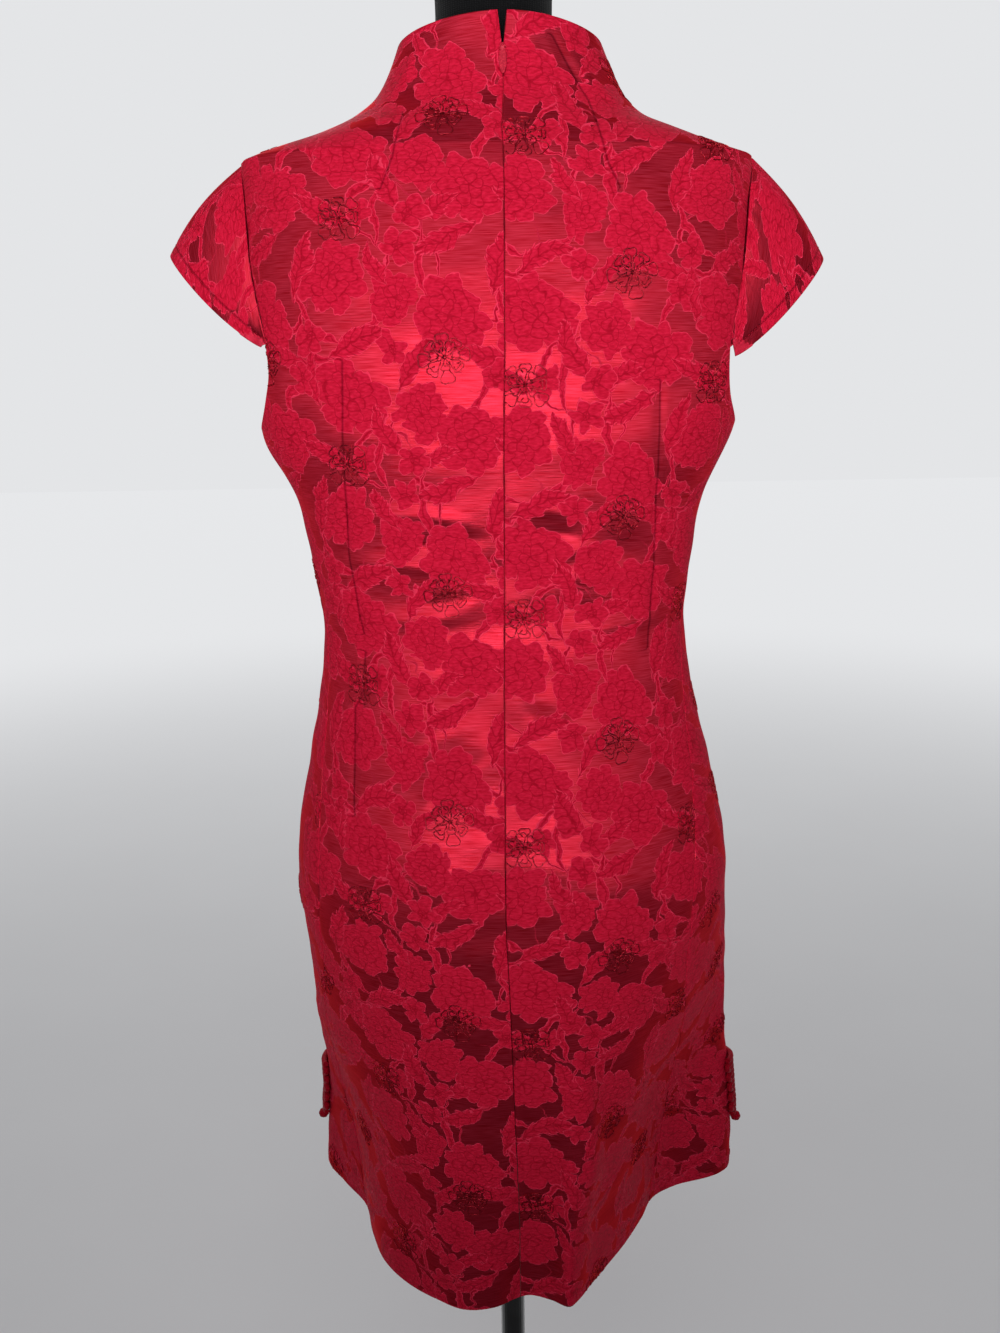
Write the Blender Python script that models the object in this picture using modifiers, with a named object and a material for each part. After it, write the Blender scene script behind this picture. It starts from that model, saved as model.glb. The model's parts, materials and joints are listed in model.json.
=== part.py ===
"""A short red cheongsam with a grown-on funnel neck and cap sleeves, worn by a limbless dress form.

Metres, +Z up, the floor at z = 0. The dress faces -Y, its zipped back is at +Y, and the wearer's left is +X.
Every cloth panel is a wall cut from one garment surface: a closed section at each height, whose points are
found from an angle that is 0 at the centre back, 90 at the wearer's left side and 180 at the centre front.
"""

import math
from collections import namedtuple

import bmesh
import bpy
from mathutils import Matrix, Vector

# Driving dimensions of the dress
CLOTH_WALL = 0.0016
SEAM_GAP = 0.00036
HEM_Z = 0.460
SLIT_TOP_Z = 0.612
SLIT_OPEN = 0.0016
UNDERARM_Z = 1.178
SHOULDER_Z = 1.370
NECK_BASE_Z = 1.4035
NECK_TOP_BACK_Z = 1.457
NECK_TOP_SIDE_Z = 1.445
NECK_TOP_FRONT_Z = 1.424
ZIP_BOTTOM_Z = 0.866
ZIP_CLOSED_Z = 1.4245
ZIP_TOP_SPREAD = 0.0052

# Driving dimensions of the dress form and its stand
NECK_RADIUS = 0.0417
FORM_TOP_Z = 1.500
FORM_BOTTOM_Z = 0.757
POLE_RADIUS = 0.011
BASE_RADIUS = 0.180
BASE_THICKNESS = 0.010
HUB_RADIUS = 0.019
HUB_TOP_Z = 0.052
SHOULDER_SEAT = 0.0026
ZIP_ROOM = 0.0022
CLEAR = 0.0003

# The garment's outer surface: half width, back and front reach, where the side lies, and how square each
# half is. A pinch draws the back in between its centre and its side, as the skirt hangs below the form.
# The centre back seam lies a little off the section's centre, because the dress has twisted on the form.
Section = namedtuple(
    "Section", "z half_width back front side_y back_power front_power pinch_left pinch_right shift seam_x"
)
BODY = (
    Section(HEM_Z, 0.195, 0.094, -0.112, -0.058, 2.30, 2.5, 0.18, 0.34, -0.0103, 0.0035),
    Section(0.530, 0.193, 0.099, -0.112, -0.052, 2.28, 2.5, 0.18, 0.31, -0.0110, 0.0045),
    Section(0.600, 0.187, 0.107, -0.113, -0.042, 2.25, 2.4, 0.13, 0.25, -0.0110, 0.0060),
    Section(0.680, 0.1840, 0.117, -0.115, -0.026, 2.22, 2.3, 0.07, 0.16, -0.0105, 0.0075),
    Section(0.760, 0.1805, 0.127, -0.117, -0.010, 2.20, 2.2, 0.03, 0.07, -0.0080, 0.0070),
    Section(0.820, 0.1785, 0.132, -0.118, 0.000, 2.15, 2.2, 0.00, 0.01, -0.0055, 0.0065),
    Section(0.870, 0.1730, 0.131, -0.117, 0.003, 2.15, 2.2, 0.00, 0.00, -0.0040, 0.0050),
    Section(0.920, 0.1620, 0.122, -0.114, 0.004, 2.15, 2.2, 0.00, 0.00, -0.0030, 0.0035),
    Section(0.975, 0.1500, 0.108, -0.108, 0.003, 2.15, 2.2, 0.00, 0.00, -0.0020, 0.0020),
    Section(1.025, 0.1430, 0.098, -0.102, 0.002, 2.20, 2.2, 0.00, 0.00, -0.0012, 0.0005),
    Section(1.080, 0.1480, 0.101, -0.107, 0.002, 2.25, 2.2, 0.00, 0.00, 0.0000, -0.0015),
    Section(1.130, 0.1570, 0.108, -0.118, 0.002, 2.30, 2.2, 0.00, 0.00, 0.0008, -0.0028),
    Section(UNDERARM_Z, 0.1790, 0.114, -0.124, 0.002, 2.35, 2.3, 0.00, 0.00, 0.0010, -0.0035),
    Section(1.240, 0.1855, 0.118, -0.121, 0.004, 2.40, 2.3, 0.00, 0.00, 0.0002, -0.0040),
    Section(1.300, 0.1860, 0.114, -0.105, 0.006, 2.35, 2.3, 0.00, 0.00, 0.0000, -0.0045),
    Section(1.345, 0.1850, 0.103, -0.082, 0.009, 2.20, 2.2, 0.00, 0.00, -0.0005, -0.0045),
    Section(SHOULDER_Z, 0.1845, 0.094, -0.066, 0.011, 2.05, 2.1, 0.00, 0.00, -0.0008, -0.0040),
)
YOKE = (
    BODY[-1],
    Section(1.3795, 0.1540, 0.089, -0.062, 0.012, 2.05, 2.1, 0.00, 0.00, 0.0000, -0.0040),
    Section(1.387, 0.1300, 0.085, -0.059, 0.012, 2.05, 2.1, 0.00, 0.00, -0.0010, -0.0035),
    Section(1.395, 0.1090, 0.080, -0.057, 0.012, 2.05, 2.1, 0.00, 0.00, -0.0020, -0.0030),
    Section(NECK_BASE_Z, 0.0960, 0.075, -0.056, 0.012, 2.05, 2.1, 0.00, 0.00, -0.0030, -0.0025),
    Section(1.412, 0.0880, 0.071, -0.055, 0.011, 2.05, 2.1, 0.00, 0.00, -0.0035, -0.0020),
    Section(1.428, 0.0795, 0.066, -0.054, 0.010, 2.05, 2.1, 0.00, 0.00, -0.0040, -0.0015),
    Section(1.446, 0.0723, 0.0625, -0.053, 0.008, 2.05, 2.1, 0.00, 0.00, -0.0043, -0.0012),
    Section(1.460, 0.0690, 0.0610, -0.052, 0.008, 2.05, 2.1, 0.00, 0.00, -0.0045, -0.0012),
)

# The hem's plan, as its reach at each angle about the hem section's centre, and where its folds die out
HemReach = namedtuple("HemReach", "angle reach")
HEM_PLAN = (
    HemReach(-180.0, 0.054),
    HemReach(-160.0, 0.0585),
    HemReach(-140.0, 0.0715),
    HemReach(-124.0, 0.0970),
    HemReach(-113.0, 0.1370),
    HemReach(-106.0, 0.1760),
    HemReach(-101.0, 0.2010),
    HemReach(-97.0, 0.2060),
    HemReach(-93.0, 0.1900),
    HemReach(-88.0, 0.1500),
    HemReach(-80.0, 0.1260),
    HemReach(-66.0, 0.1205),
    HemReach(-52.0, 0.1216),
    HemReach(-36.0, 0.1300),
    HemReach(-23.5, 0.1440),
    HemReach(-16.5, 0.1570),
    HemReach(-13.0, 0.1620),
    HemReach(-8.5, 0.1520),
    HemReach(-2.0, 0.1445),
    HemReach(3.0, 0.1480),
    HemReach(9.0, 0.1590),
    HemReach(18.0, 0.1670),
    HemReach(27.0, 0.1645),
    HemReach(38.0, 0.1620),
    HemReach(51.0, 0.1585),
    HemReach(64.0, 0.1520),
    HemReach(80.0, 0.1500),
    HemReach(93.0, 0.1720),
    HemReach(100.0, 0.1910),
    HemReach(104.0, 0.1960),
    HemReach(108.0, 0.1800),
    HemReach(114.0, 0.1340),
    HemReach(125.0, 0.0960),
    HemReach(140.0, 0.0700),
    HemReach(160.0, 0.0570),
    HemReach(180.0, 0.0540),
)
HEM_FOLDS_TOP_Z = 0.740
PINCH_START_DEG = 8.0
PINCH_SKEW = 1.6

# Where the side seam runs on each side, and the armhole's edge on each panel, as angles from the centre back
SideSeam = namedtuple("SideSeam", "z left right")
SIDE_SEAM = (
    SideSeam(HEM_Z, 79.0, 76.5),
    SideSeam(0.530, 81.0, 79.0),
    SideSeam(0.600, 82.5, 75.5),
    SideSeam(0.660, 79.0, 68.5),
    SideSeam(0.710, 73.0, 63.0),
    SideSeam(0.760, 68.0, 59.0),
    SideSeam(0.820, 64.5, 58.0),
    SideSeam(0.870, 65.0, 61.0),
    SideSeam(0.940, 70.0, 68.0),
    SideSeam(1.025, 77.0, 76.0),
    SideSeam(1.100, 83.0, 83.0),
    SideSeam(UNDERARM_Z, 90.0, 90.0),
)
Armhole = namedtuple("Armhole", "z back_angle front_angle")
ARMHOLE = (
    Armhole(UNDERARM_Z, 90, 90),
    Armhole(1.183, 82, 94),
    Armhole(1.191, 76, 97),
    Armhole(1.204, 71.5, 101),
    Armhole(1.226, 68.5, 107),
    Armhole(1.255, 69.5, 111),
    Armhole(1.290, 74, 111),
    Armhole(1.330, 79.5, 106),
    Armhole(1.356, 84.5, 98),
    Armhole(SHOULDER_Z, 90, 90),
)

# Soft rounded swells and troughs: the bust, and the folds in which the skirt falls
Fold = namedtuple("Fold", "angle spread_deg z spread_z out")
FOLDS = (
    Fold(144, 15, 1.198, 0.046, 0.017),
    Fold(-144, 15, 1.198, 0.046, 0.017),
    Fold(27, 11, 0.850, 0.060, 0.004),
    Fold(-27, 11, 0.850, 0.060, 0.004),
    Fold(-18, 6, 0.570, 0.070, 0.005),
    Fold(126, 7, 0.450, 0.120, 0.006),
    Fold(150, 12, 0.450, 0.100, -0.004),
    Fold(178, 16, 0.450, 0.120, 0.007),
    Fold(-148, 12, 0.450, 0.110, -0.004),
    Fold(-124, 7, 0.450, 0.100, 0.005),
)

# Cap sleeve: how low it meets the armhole, and its hem's reach at the tip
SLEEVE_END_Z = 1.243
SLEEVE_TIP = Vector((0.2415, 0.006, 1.3045))
SLEEVE_TIP_TILT = 0.0045
SLEEVE_END_TILT = 0.0060
SLEEVE_HEM_END_OUT = 0.0040
SLEEVE_HEM_END_IN = 0.88
SLEEVE_HEM_END_Z = 1.2365
SLEEVE_BULGE = 0.006
SLEEVE_SEAM_OUT = 0.0005
SLEEVE_SEAM_GAP = 0.0004
ARM_CENTRE = Vector((0.175, 0.004, 1.245))

# Mesh density
BACK_COLUMNS = 15
FRONT_COLUMNS = 34
ARMHOLE_ROWS = 7
SLEEVE_COLUMNS = 2 * ARMHOLE_ROWS
SLEEVE_ROWS = 4
FORM_COLUMNS = 32

# Knotted cord ornament on the front beside each slit, and how its line leans away from the panel's edge
CORD_RADIUS = 0.0027
FROG_TOP_Z = 0.592
FROG_PITCH = 0.0061
FROG_PASSES = 12
FROG_HALF_WIDTH = 0.0115
FROG_TAPER = 0.025
FROG_CLEAR = 0.0011
BALL_RADIUS = 0.0050
FrogLine = namedtuple("FrogLine", "from_edge lean")
FROG_LINES = {1: FrogLine(0.0530, 0.30), -1: FrogLine(0.0850, 0.12)}

# Zip slider and pull tab
BAR_RADIUS = 0.00055
BAR_HALF_LENGTH = 0.0021
BAR_OUT = 0.0027
BAR_Z = 1.4325
SLIDER_HALF_WIDTH = 0.0026
SLIDER_HALF_LENGTH = 0.0041
SLIDER_THICKNESS = 0.0022
STEM_HALF_WIDTH = 0.00045
EYE_RADIUS = 0.0016
EYE_BORE = 0.00095
TAB_LENGTH = 0.0185
TAB_HALF_WIDTH = 0.0026
TAB_THICKNESS = 0.0012

CLOTH_RED = (0.55, 0.012, 0.045)
CORD_RED = (0.50, 0.012, 0.040)
ZIP_RED = (0.42, 0.010, 0.035)
FORM_BLACK = (0.012, 0.012, 0.013)
STAND_BLACK = (0.020, 0.020, 0.022)


def clear_scene():
    for obj in list(bpy.data.objects):
        bpy.data.objects.remove(obj)


def new_collection(name):
    collection = bpy.data.collections.new(name)
    bpy.context.scene.collection.children.link(collection)
    return collection


def material(name, colour, roughness, metallic=0.0):
    made = bpy.data.materials.new(name)
    made.use_nodes = True
    shader = made.node_tree.nodes["Principled BSDF"]
    shader.inputs["Base Color"].default_value = (*colour, 1.0)
    shader.inputs["Roughness"].default_value = roughness
    shader.inputs["Metallic"].default_value = metallic
    return made


def slope(rows, index, column):
    """The finite-difference slope of a column at one row."""
    low, high = max(index - 1, 0), min(index + 1, len(rows) - 1)
    return (rows[high][column] - rows[low][column]) / (rows[high][0] - rows[low][0])


def between(rows, z, column):
    """A column of a table read at height z along a smooth curve through its rows."""
    z = min(max(z, rows[0][0]), rows[-1][0])
    index = 0
    while index < len(rows) - 2 and z > rows[index + 1][0]:
        index += 1
    lower, upper = rows[index], rows[index + 1]
    span = upper[0] - lower[0]
    t = (z - lower[0]) / span
    start, end = slope(rows, index, column) * span, slope(rows, index + 1, column) * span
    return (
        (2 * t**3 - 3 * t**2 + 1) * lower[column]
        + (t**3 - 2 * t**2 + t) * start
        + (3 * t**2 - 2 * t**3) * upper[column]
        + (t**3 - t**2) * end
    )


def section_at(z):
    table = BODY if z <= SHOULDER_Z else YOKE
    return Section(z, *(between(table, z, column) for column in range(1, len(Section._fields))))


def turned(angle):
    """The angle brought into -180 to 180 degrees."""
    return (angle + 180.0) % 360.0 - 180.0


def fold_out(angle, z):
    """How far the folds move the surface outwards."""
    return sum(
        fold.out
        * math.exp(-((turned(angle - fold.angle) / fold.spread_deg) ** 2))
        * math.exp(-(((z - fold.z) / fold.spread_z) ** 2))
        for fold in FOLDS
    )


def pinch(section, angle):
    """The share by which the back half draws in at this angle."""
    around = abs(turned(angle))
    if not PINCH_START_DEG < around < 90.0:
        return 0.0
    share = (around - PINCH_START_DEG) / (90.0 - PINCH_START_DEG)
    depth = section.pinch_left if turned(angle) > 0 else section.pinch_right
    return depth * math.sin(math.pi * share**PINCH_SKEW)


def hem_share(z):
    """How much of the hem's plan is felt at this height, from 1 at the hem to 0 where its folds die out."""
    if z >= HEM_FOLDS_TOP_Z:
        return 0.0
    low = (HEM_FOLDS_TOP_Z - z) / (HEM_FOLDS_TOP_Z - HEM_Z)
    return low * low * (3.0 - 2.0 * low)


def seam_angle(z):
    """The angle of the centre back seam, from where it lies beside the section's centre."""
    section = section_at(z)
    return math.degrees(math.atan2(section.seam_x, section.back - section.side_y))


def surface(angle, z):
    """A point of the garment's outer surface."""
    section = section_at(z)
    across, along = math.sin(math.radians(angle)), math.cos(math.radians(angle))
    behind = along >= 0.0
    depth = section.back - section.side_y if behind else section.side_y - section.front
    power = section.back_power if behind else section.front_power
    reach = (abs(across / section.half_width) ** power + abs(along / depth) ** power) ** (-1.0 / power)
    reach *= 1.0 - pinch(section, angle)
    share = hem_share(z)
    if share:
        reach += (between(HEM_PLAN, turned(angle), 1) - reach) * share
    reach += fold_out(angle, z)
    return Vector((section.shift + reach * across, section.side_y + reach * along, z))


def outward(angle, z):
    """The unit normal of the garment's surface."""
    step_deg, step_z = 0.5, 0.0006
    around = surface(angle + step_deg, z) - surface(angle - step_deg, z)
    up = surface(angle, z + step_z) - surface(angle, z - step_z)
    normal = up.cross(around).normalized()
    point = surface(angle, z)
    centre = Vector((section_at(z).shift, section_at(z).side_y, z))
    return normal if normal.dot(point - centre) > 0 else -normal


def spread_between(stops):
    """Heights from (start, end, count) stretches that follow on each other."""
    heights = [stops[0][0]]
    for start, end, count in stops:
        heights += [start + (end - start) * (step + 1) / count for step in range(count)]
    return heights


def armhole_height(climb):
    """The height on the armhole, from the sleeve's end at 0 to the shoulder at 1, closer near the top."""
    return SLEEVE_END_Z + (SHOULDER_Z - SLEEVE_END_Z) * math.sin(climb * math.pi / 2)


BODY_HEIGHTS = spread_between(
    (
        (HEM_Z, SLIT_TOP_Z, 6),
        (SLIT_TOP_Z, ZIP_BOTTOM_Z, 6),
        (ZIP_BOTTOM_Z, 1.160, 8),
        (1.160, UNDERARM_Z, 1),
        (UNDERARM_Z, 1.192, 3),
        (1.192, SLEEVE_END_Z, 2),
    )
)
BODY_HEIGHTS += [armhole_height(step / ARMHOLE_ROWS) for step in range(1, ARMHOLE_ROWS + 1)]
BODY_HEIGHTS += spread_between(((SHOULDER_Z, NECK_BASE_Z, 4),))[1:]
FUNNEL_ROWS = 3


def neck_top(angle):
    """The height of the neckline's edge at this angle."""
    along = math.cos(math.radians(angle))
    rise = NECK_TOP_BACK_Z - NECK_TOP_SIDE_Z if along > 0 else NECK_TOP_SIDE_Z - NECK_TOP_FRONT_Z
    return NECK_TOP_SIDE_Z + rise * along


def edge_angle(z, in_front, side):
    """The angle of a panel's outer edge on one side: side seam, armhole, then shoulder and neck seam."""
    if z <= UNDERARM_Z:
        return between(SIDE_SEAM, z, 1 if side > 0 else 2)
    if z < SHOULDER_Z:
        return between(ARMHOLE, z, 2 if in_front else 1)
    return 90.0


def slit_gap(z):
    """Half of the opening between the panels at the side, widening down the slit."""
    if z >= SLIT_TOP_Z:
        return SEAM_GAP / 2
    return SEAM_GAP / 2 + SLIT_OPEN / 2 * (SLIT_TOP_Z - z) / (SLIT_TOP_Z - HEM_Z)


def as_angle(distance, z):
    """The angle that a short distance along the section spans near the side."""
    return math.degrees(distance / section_at(z).half_width)


def rows_of(angles_at):
    """Rows of places (angle, z) up to the neckline, where angles_at(z) gives the angles across one row."""
    rows = [[(angle, z) for angle in angles_at(z)] for z in BODY_HEIGHTS]
    for row in range(1, FUNNEL_ROWS + 1):
        share = row / FUNNEL_ROWS
        angles = angles_at(NECK_BASE_Z + (NECK_TOP_SIDE_Z - NECK_BASE_Z) * share)
        rows.append([(angle, NECK_BASE_Z + (neck_top(angle) - NECK_BASE_Z) * share) for angle in angles])
    return rows


def evenly(first, last, z, columns):
    """Angles from first to last that divide the section into equal lengths."""
    steps = 6 * columns
    angles = [first + (last - first) * step / steps for step in range(steps + 1)]
    points = [surface(angle, z) for angle in angles]
    lengths = [0.0]
    for start, end in zip(points, points[1:]):
        lengths.append(lengths[-1] + (end - start).length)
    table = list(zip(lengths, angles))
    return [line_at(table, lengths[-1] * column / columns) for column in range(columns + 1)]


def line_at(table, place):
    """The second column of a table at a place along its first, in straight steps."""
    for (low, low_value), (high, high_value) in zip(table, table[1:]):
        if place <= high + 1e-12:
            return low_value + (high_value - low_value) * (place - low) / (high - low)
    return table[-1][1]


def front_angles(z):
    gap = as_angle(slit_gap(z), z)
    left, right = edge_angle(z, True, 1) + gap, edge_angle(z, True, -1) + gap
    return evenly(left, 360.0 - right, z, FRONT_COLUMNS)


def zip_gap(z):
    """Half of the gap between the two backs, which spreads above the zip's slider."""
    above = max(0.0, z - ZIP_CLOSED_Z) / (NECK_TOP_BACK_Z - ZIP_CLOSED_Z)
    return SEAM_GAP / 2 + ZIP_TOP_SPREAD * above**1.2


def back_angles(side):
    """The angles across one back panel, from the centre back to the side, for side +1 or -1."""

    def angles_at(z):
        section = section_at(z)
        gap = side * math.degrees(zip_gap(z) / (section.back - section.side_y))
        edge = side * (edge_angle(z, False, side) - as_angle(slit_gap(z), z))
        return evenly(seam_angle(z) + gap, edge, z, BACK_COLUMNS)

    return angles_at


def cloth(name, outer, inner, collection, finish):
    """A closed wall between two grids of points, the outer and the inner face of one piece of cloth."""
    body = bmesh.new()
    faces = [[[body.verts.new(point) for point in row] for row in grid] for grid in (outer, inner)]
    for grid in faces:
        for lower, upper in zip(grid, grid[1:]):
            for column in range(len(lower) - 1):
                body.faces.new((lower[column], lower[column + 1], upper[column + 1], upper[column]))
    for first, second in zip(rim(faces[0]), rim(faces[1])):
        body.faces.new((first[0], first[1], second[1], second[0]))
    bmesh.ops.recalc_face_normals(body, faces=body.faces)
    return solid_object(name, body, collection, finish, smooth_below=50.0)


def rim(grid):
    """The pairs of neighbouring points round a grid's border."""
    sides = grid[1:-1]
    left = [row[0] for row in reversed(sides)]
    border = [*grid[0], *(row[-1] for row in sides), *reversed(grid[-1]), *left]
    return list(zip(border, border[1:] + border[:1]))


def panel(name, places, collection, finish, depth=0.0, wall=CLOTH_WALL):
    """A piece of the garment's surface from rows of (angle, z), with its wall along the surface's normals."""
    outer = [[surface(*place) - outward(*place) * depth for place in row] for row in places]
    inner = [[surface(*place) - outward(*place) * (depth + wall) for place in row] for row in places]
    return cloth(name, outer, inner, collection, finish)


def armhole_point(share, side):
    """A point of the armhole where the sleeve is sewn, from its back at 0 to its front at 1."""
    in_front = share > 0.5
    z = min(armhole_height(1.0 - abs(2.0 * share - 1.0)), SHOULDER_Z - 1e-6)
    edge = mirrored(surface(side * edge_angle(z, in_front, side), z), side)
    into_hole = (ARM_CENTRE - edge) * Vector((0.0, 1.0, 1.0))
    return edge + into_hole.normalized() * SLEEVE_SEAM_GAP + Vector((SLEEVE_SEAM_OUT, 0.0, 0.0))


def sleeve_hem(share, side):
    """A point of the sleeve's hem, out to its tip and back to the armhole's front or back."""
    swing = math.sin(math.pi * share)
    tilt = SLEEVE_END_TILT + (SLEEVE_TIP_TILT - SLEEVE_END_TILT) * swing
    end = armhole_point(0.0 if share < 0.5 else 1.0, side)
    start_x = end.x + SLEEVE_HEM_END_OUT
    return Vector(
        (
            start_x + (SLEEVE_TIP.x - start_x) * swing,
            SLEEVE_TIP.y * swing + SLEEVE_HEM_END_IN * end.y * abs(math.cos(math.pi * share)),
            SLEEVE_HEM_END_Z + side * tilt + (SLEEVE_TIP.z - SLEEVE_HEM_END_Z) * swing**1.3,
        )
    )


def sleeve_surface(share, out, side):
    """A point of a sleeve as on the left: share runs along the armhole and out runs from it to the hem."""
    point = armhole_point(share, side).lerp(sleeve_hem(share, side), out)
    away = point - ARM_CENTRE
    away.x *= 0.35
    return point + away.normalized() * SLEEVE_BULGE * 4.0 * out * (1.0 - out) * math.sin(math.pi * share)


def sleeve_normal(share, out, side):
    before, after = max(share - 0.004, 0.0), min(share + 0.004, 1.0)
    inner, outer = max(out - 0.004, 0.0), min(out + 0.004, 1.0)
    along = sleeve_surface(after, out, side) - sleeve_surface(before, out, side)
    across = sleeve_surface(share, outer, side) - sleeve_surface(share, inner, side)
    normal = along.cross(across).normalized()
    return normal if normal.z + 0.2 * abs(normal.y) > 0 else -normal


def cap_sleeve(name, side, collection, finish):
    """A cap sleeve from the armhole out to its hem."""
    outer, inner = [], []
    for row in range(SLEEVE_ROWS + 1):
        out = row / SLEEVE_ROWS
        places = [(column / SLEEVE_COLUMNS, out, side) for column in range(SLEEVE_COLUMNS + 1)]
        outer.append([mirrored(sleeve_surface(*place), side) for place in places])
        inner.append(
            [mirrored(sleeve_surface(*place) - sleeve_normal(*place) * CLOTH_WALL, side) for place in places]
        )
    return cloth(name, outer, inner, collection, finish)


def mirrored(point, side):
    return Vector((side * point.x, point.y, point.z))


# The form lies within the garment: its own ease at each height, and its neck rising out of the funnel
Ease = namedtuple("Ease", "z inset")
FORM_EASE = (
    Ease(FORM_BOTTOM_Z, 0.0140),
    Ease(0.820, 0.0075),
    Ease(0.870, 0.0065),
    Ease(0.975, 0.0085),
    Ease(1.025, 0.0090),
    Ease(1.130, 0.0085),
    Ease(1.190, 0.0140),
    Ease(1.230, 0.0150),
    Ease(1.300, 0.0090),
    Ease(1.345, 0.0045),
    Ease(SHOULDER_Z, SHOULDER_SEAT),
    Ease(1.390, SHOULDER_SEAT),
)
FormNeck = namedtuple("FormNeck", "z half_width back front side_y")
FORM_SHOULDER = (
    FormNeck(1.3912, 0.1050, 0.0725, -0.0495, 0.008),
    FormNeck(1.3985, 0.0830, 0.0640, -0.0470, 0.005),
    FormNeck(1.4080, 0.0630, 0.0545, -0.0455, 0.002),
    FormNeck(1.4220, 0.0490, 0.0470, -0.0445, 0.000),
    FormNeck(1.4420, NECK_RADIUS + 0.001, 0.0430, -0.0440, 0.000),
    FormNeck(1.4700, NECK_RADIUS, 0.0425, -0.0435, 0.000),
    FormNeck(FORM_TOP_Z - 0.004, NECK_RADIUS, 0.0425, -0.0435, 0.000),
    FormNeck(FORM_TOP_Z, NECK_RADIUS - 0.004, 0.0385, -0.0395, 0.000),
)
FORM_HEIGHTS = spread_between(
    ((FORM_BOTTOM_Z, 0.775, 1), (0.775, 0.920, 3), (0.920, 1.300, 9), (1.300, SHOULDER_Z, 3))
)
FORM_HEIGHTS += spread_between(((SHOULDER_Z, NECK_BASE_Z, 4),))[1:3]


def form_ring(z):
    """A ring of the torso inside the garment: its shoulders carry the cloth, and the zip has room."""
    ring = []
    for column in range(FORM_COLUMNS):
        angle = 360.0 * column / FORM_COLUMNS
        room = ZIP_ROOM * max(0.0, math.cos(math.radians(angle))) ** 2
        point = surface(angle, z) - outward(angle, z) * (between(FORM_EASE, z, 1) + room)
        ring.append(Vector((point.x, point.y, z)) if z < FORM_BOTTOM_Z + 0.01 else point)
    return ring


def neck_ring(row):
    ring = []
    for column in range(FORM_COLUMNS):
        angle = 2 * math.pi * column / FORM_COLUMNS
        depth = row.back - row.side_y if math.cos(angle) >= 0 else row.side_y - row.front
        ring.append(Vector((row.half_width * math.sin(angle), row.side_y + depth * math.cos(angle), row.z)))
    return ring


def dress_form(collection, finish):
    """The limbless torso: rings from the hips to the neck's flat top, closed at both ends."""
    rings = [form_ring(z) for z in FORM_HEIGHTS] + [neck_ring(row) for row in FORM_SHOULDER]
    body = bmesh.new()
    grid = [[body.verts.new(point) for point in ring] for ring in rings]
    for lower, upper in zip(grid, grid[1:]):
        for column in range(FORM_COLUMNS):
            following = (column + 1) % FORM_COLUMNS
            body.faces.new((lower[column], lower[following], upper[following], upper[column]))
    body.faces.new(grid[0])
    body.faces.new(grid[-1])
    bmesh.ops.recalc_face_normals(body, faces=body.faces)
    return solid_object("form_torso", body, collection, finish)


def solid_object(name, body, collection, finish, smooth_below=40.0):
    mesh = bpy.data.meshes.new(name)
    body.to_mesh(mesh)
    body.free()
    mesh.shade_smooth()
    mesh.set_sharp_from_angle(angle=math.radians(smooth_below))
    mesh.materials.append(finish)
    obj = bpy.data.objects.new(name, mesh)
    collection.objects.link(obj)
    return obj


def stand_pole(collection, finish):
    foot = BASE_THICKNESS + CLEAR
    top = FORM_BOTTOM_Z - CLEAR
    body = bmesh.new()
    bmesh.ops.create_cone(
        body, cap_ends=True, segments=24, radius1=POLE_RADIUS, radius2=POLE_RADIUS, depth=top - foot,
        matrix=Matrix.Translation((0.0, 0.0, (top + foot) / 2)),
    )
    return solid_object("stand_pole", body, collection, finish)


def stand_base(collection, finish):
    """A turned base: a flat weighted disc with a hub whose socket holds the pole."""
    bore = POLE_RADIUS + CLEAR
    edge = 0.003
    profile = (
        (bore, BASE_THICKNESS),
        (bore, HUB_TOP_Z),
        (HUB_RADIUS - 0.002, HUB_TOP_Z),
        (HUB_RADIUS, HUB_TOP_Z - 0.002),
        (HUB_RADIUS + 0.002, BASE_THICKNESS + 0.010),
        (HUB_RADIUS + 0.014, BASE_THICKNESS + 0.003),
        (BASE_RADIUS - edge, BASE_THICKNESS - 0.002),
        (BASE_RADIUS, BASE_THICKNESS - 0.002 - edge),
        (BASE_RADIUS, 0.0015),
        (BASE_RADIUS - 0.0015, 0.0),
    )
    points = [(0.0, BASE_THICKNESS), *profile, (0.0, 0.0)]
    mesh = bpy.data.meshes.new("stand_base")
    mesh.from_pydata([(x, 0.0, z) for x, z in points], [(i, i + 1) for i in range(len(points) - 1)], [])
    mesh.materials.append(finish)
    obj = bpy.data.objects.new("stand_base", mesh)
    collection.objects.link(obj)
    screw = obj.modifiers.new("turn", "SCREW")
    screw.steps = screw.render_steps = 48
    screw.use_merge_vertices = True
    screw.merge_threshold = 0.00005
    return obj


def on_front(grid, side, distance, z):
    """A point on the front panel's own facets, at a distance in from its side edge and at height z."""
    lower = max(index for index, height in enumerate(BODY_HEIGHTS) if height <= z)
    share = (z - BODY_HEIGHTS[lower]) / (BODY_HEIGHTS[lower + 1] - BODY_HEIGHTS[lower])
    ends = []
    for row in (grid[lower], grid[lower + 1]):
        row = row if side > 0 else row[::-1]
        column = distance / (row[1] - row[0]).length
        ends.append(row[int(column)].lerp(row[int(column) + 1], column - int(column)))
    return ends[0].lerp(ends[1], share)


def above_front(grid, side, distance, z, lift):
    """The same point lifted off the panel along its normal."""
    step = 0.004
    around = on_front(grid, side, distance + step, z) - on_front(grid, side, distance - step, z)
    up = on_front(grid, side, distance, z + step) - on_front(grid, side, distance, z - step)
    normal = around.cross(up).normalized()
    if normal.x * side < 0:
        normal = -normal
    return on_front(grid, side, distance, z) + normal * lift


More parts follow.
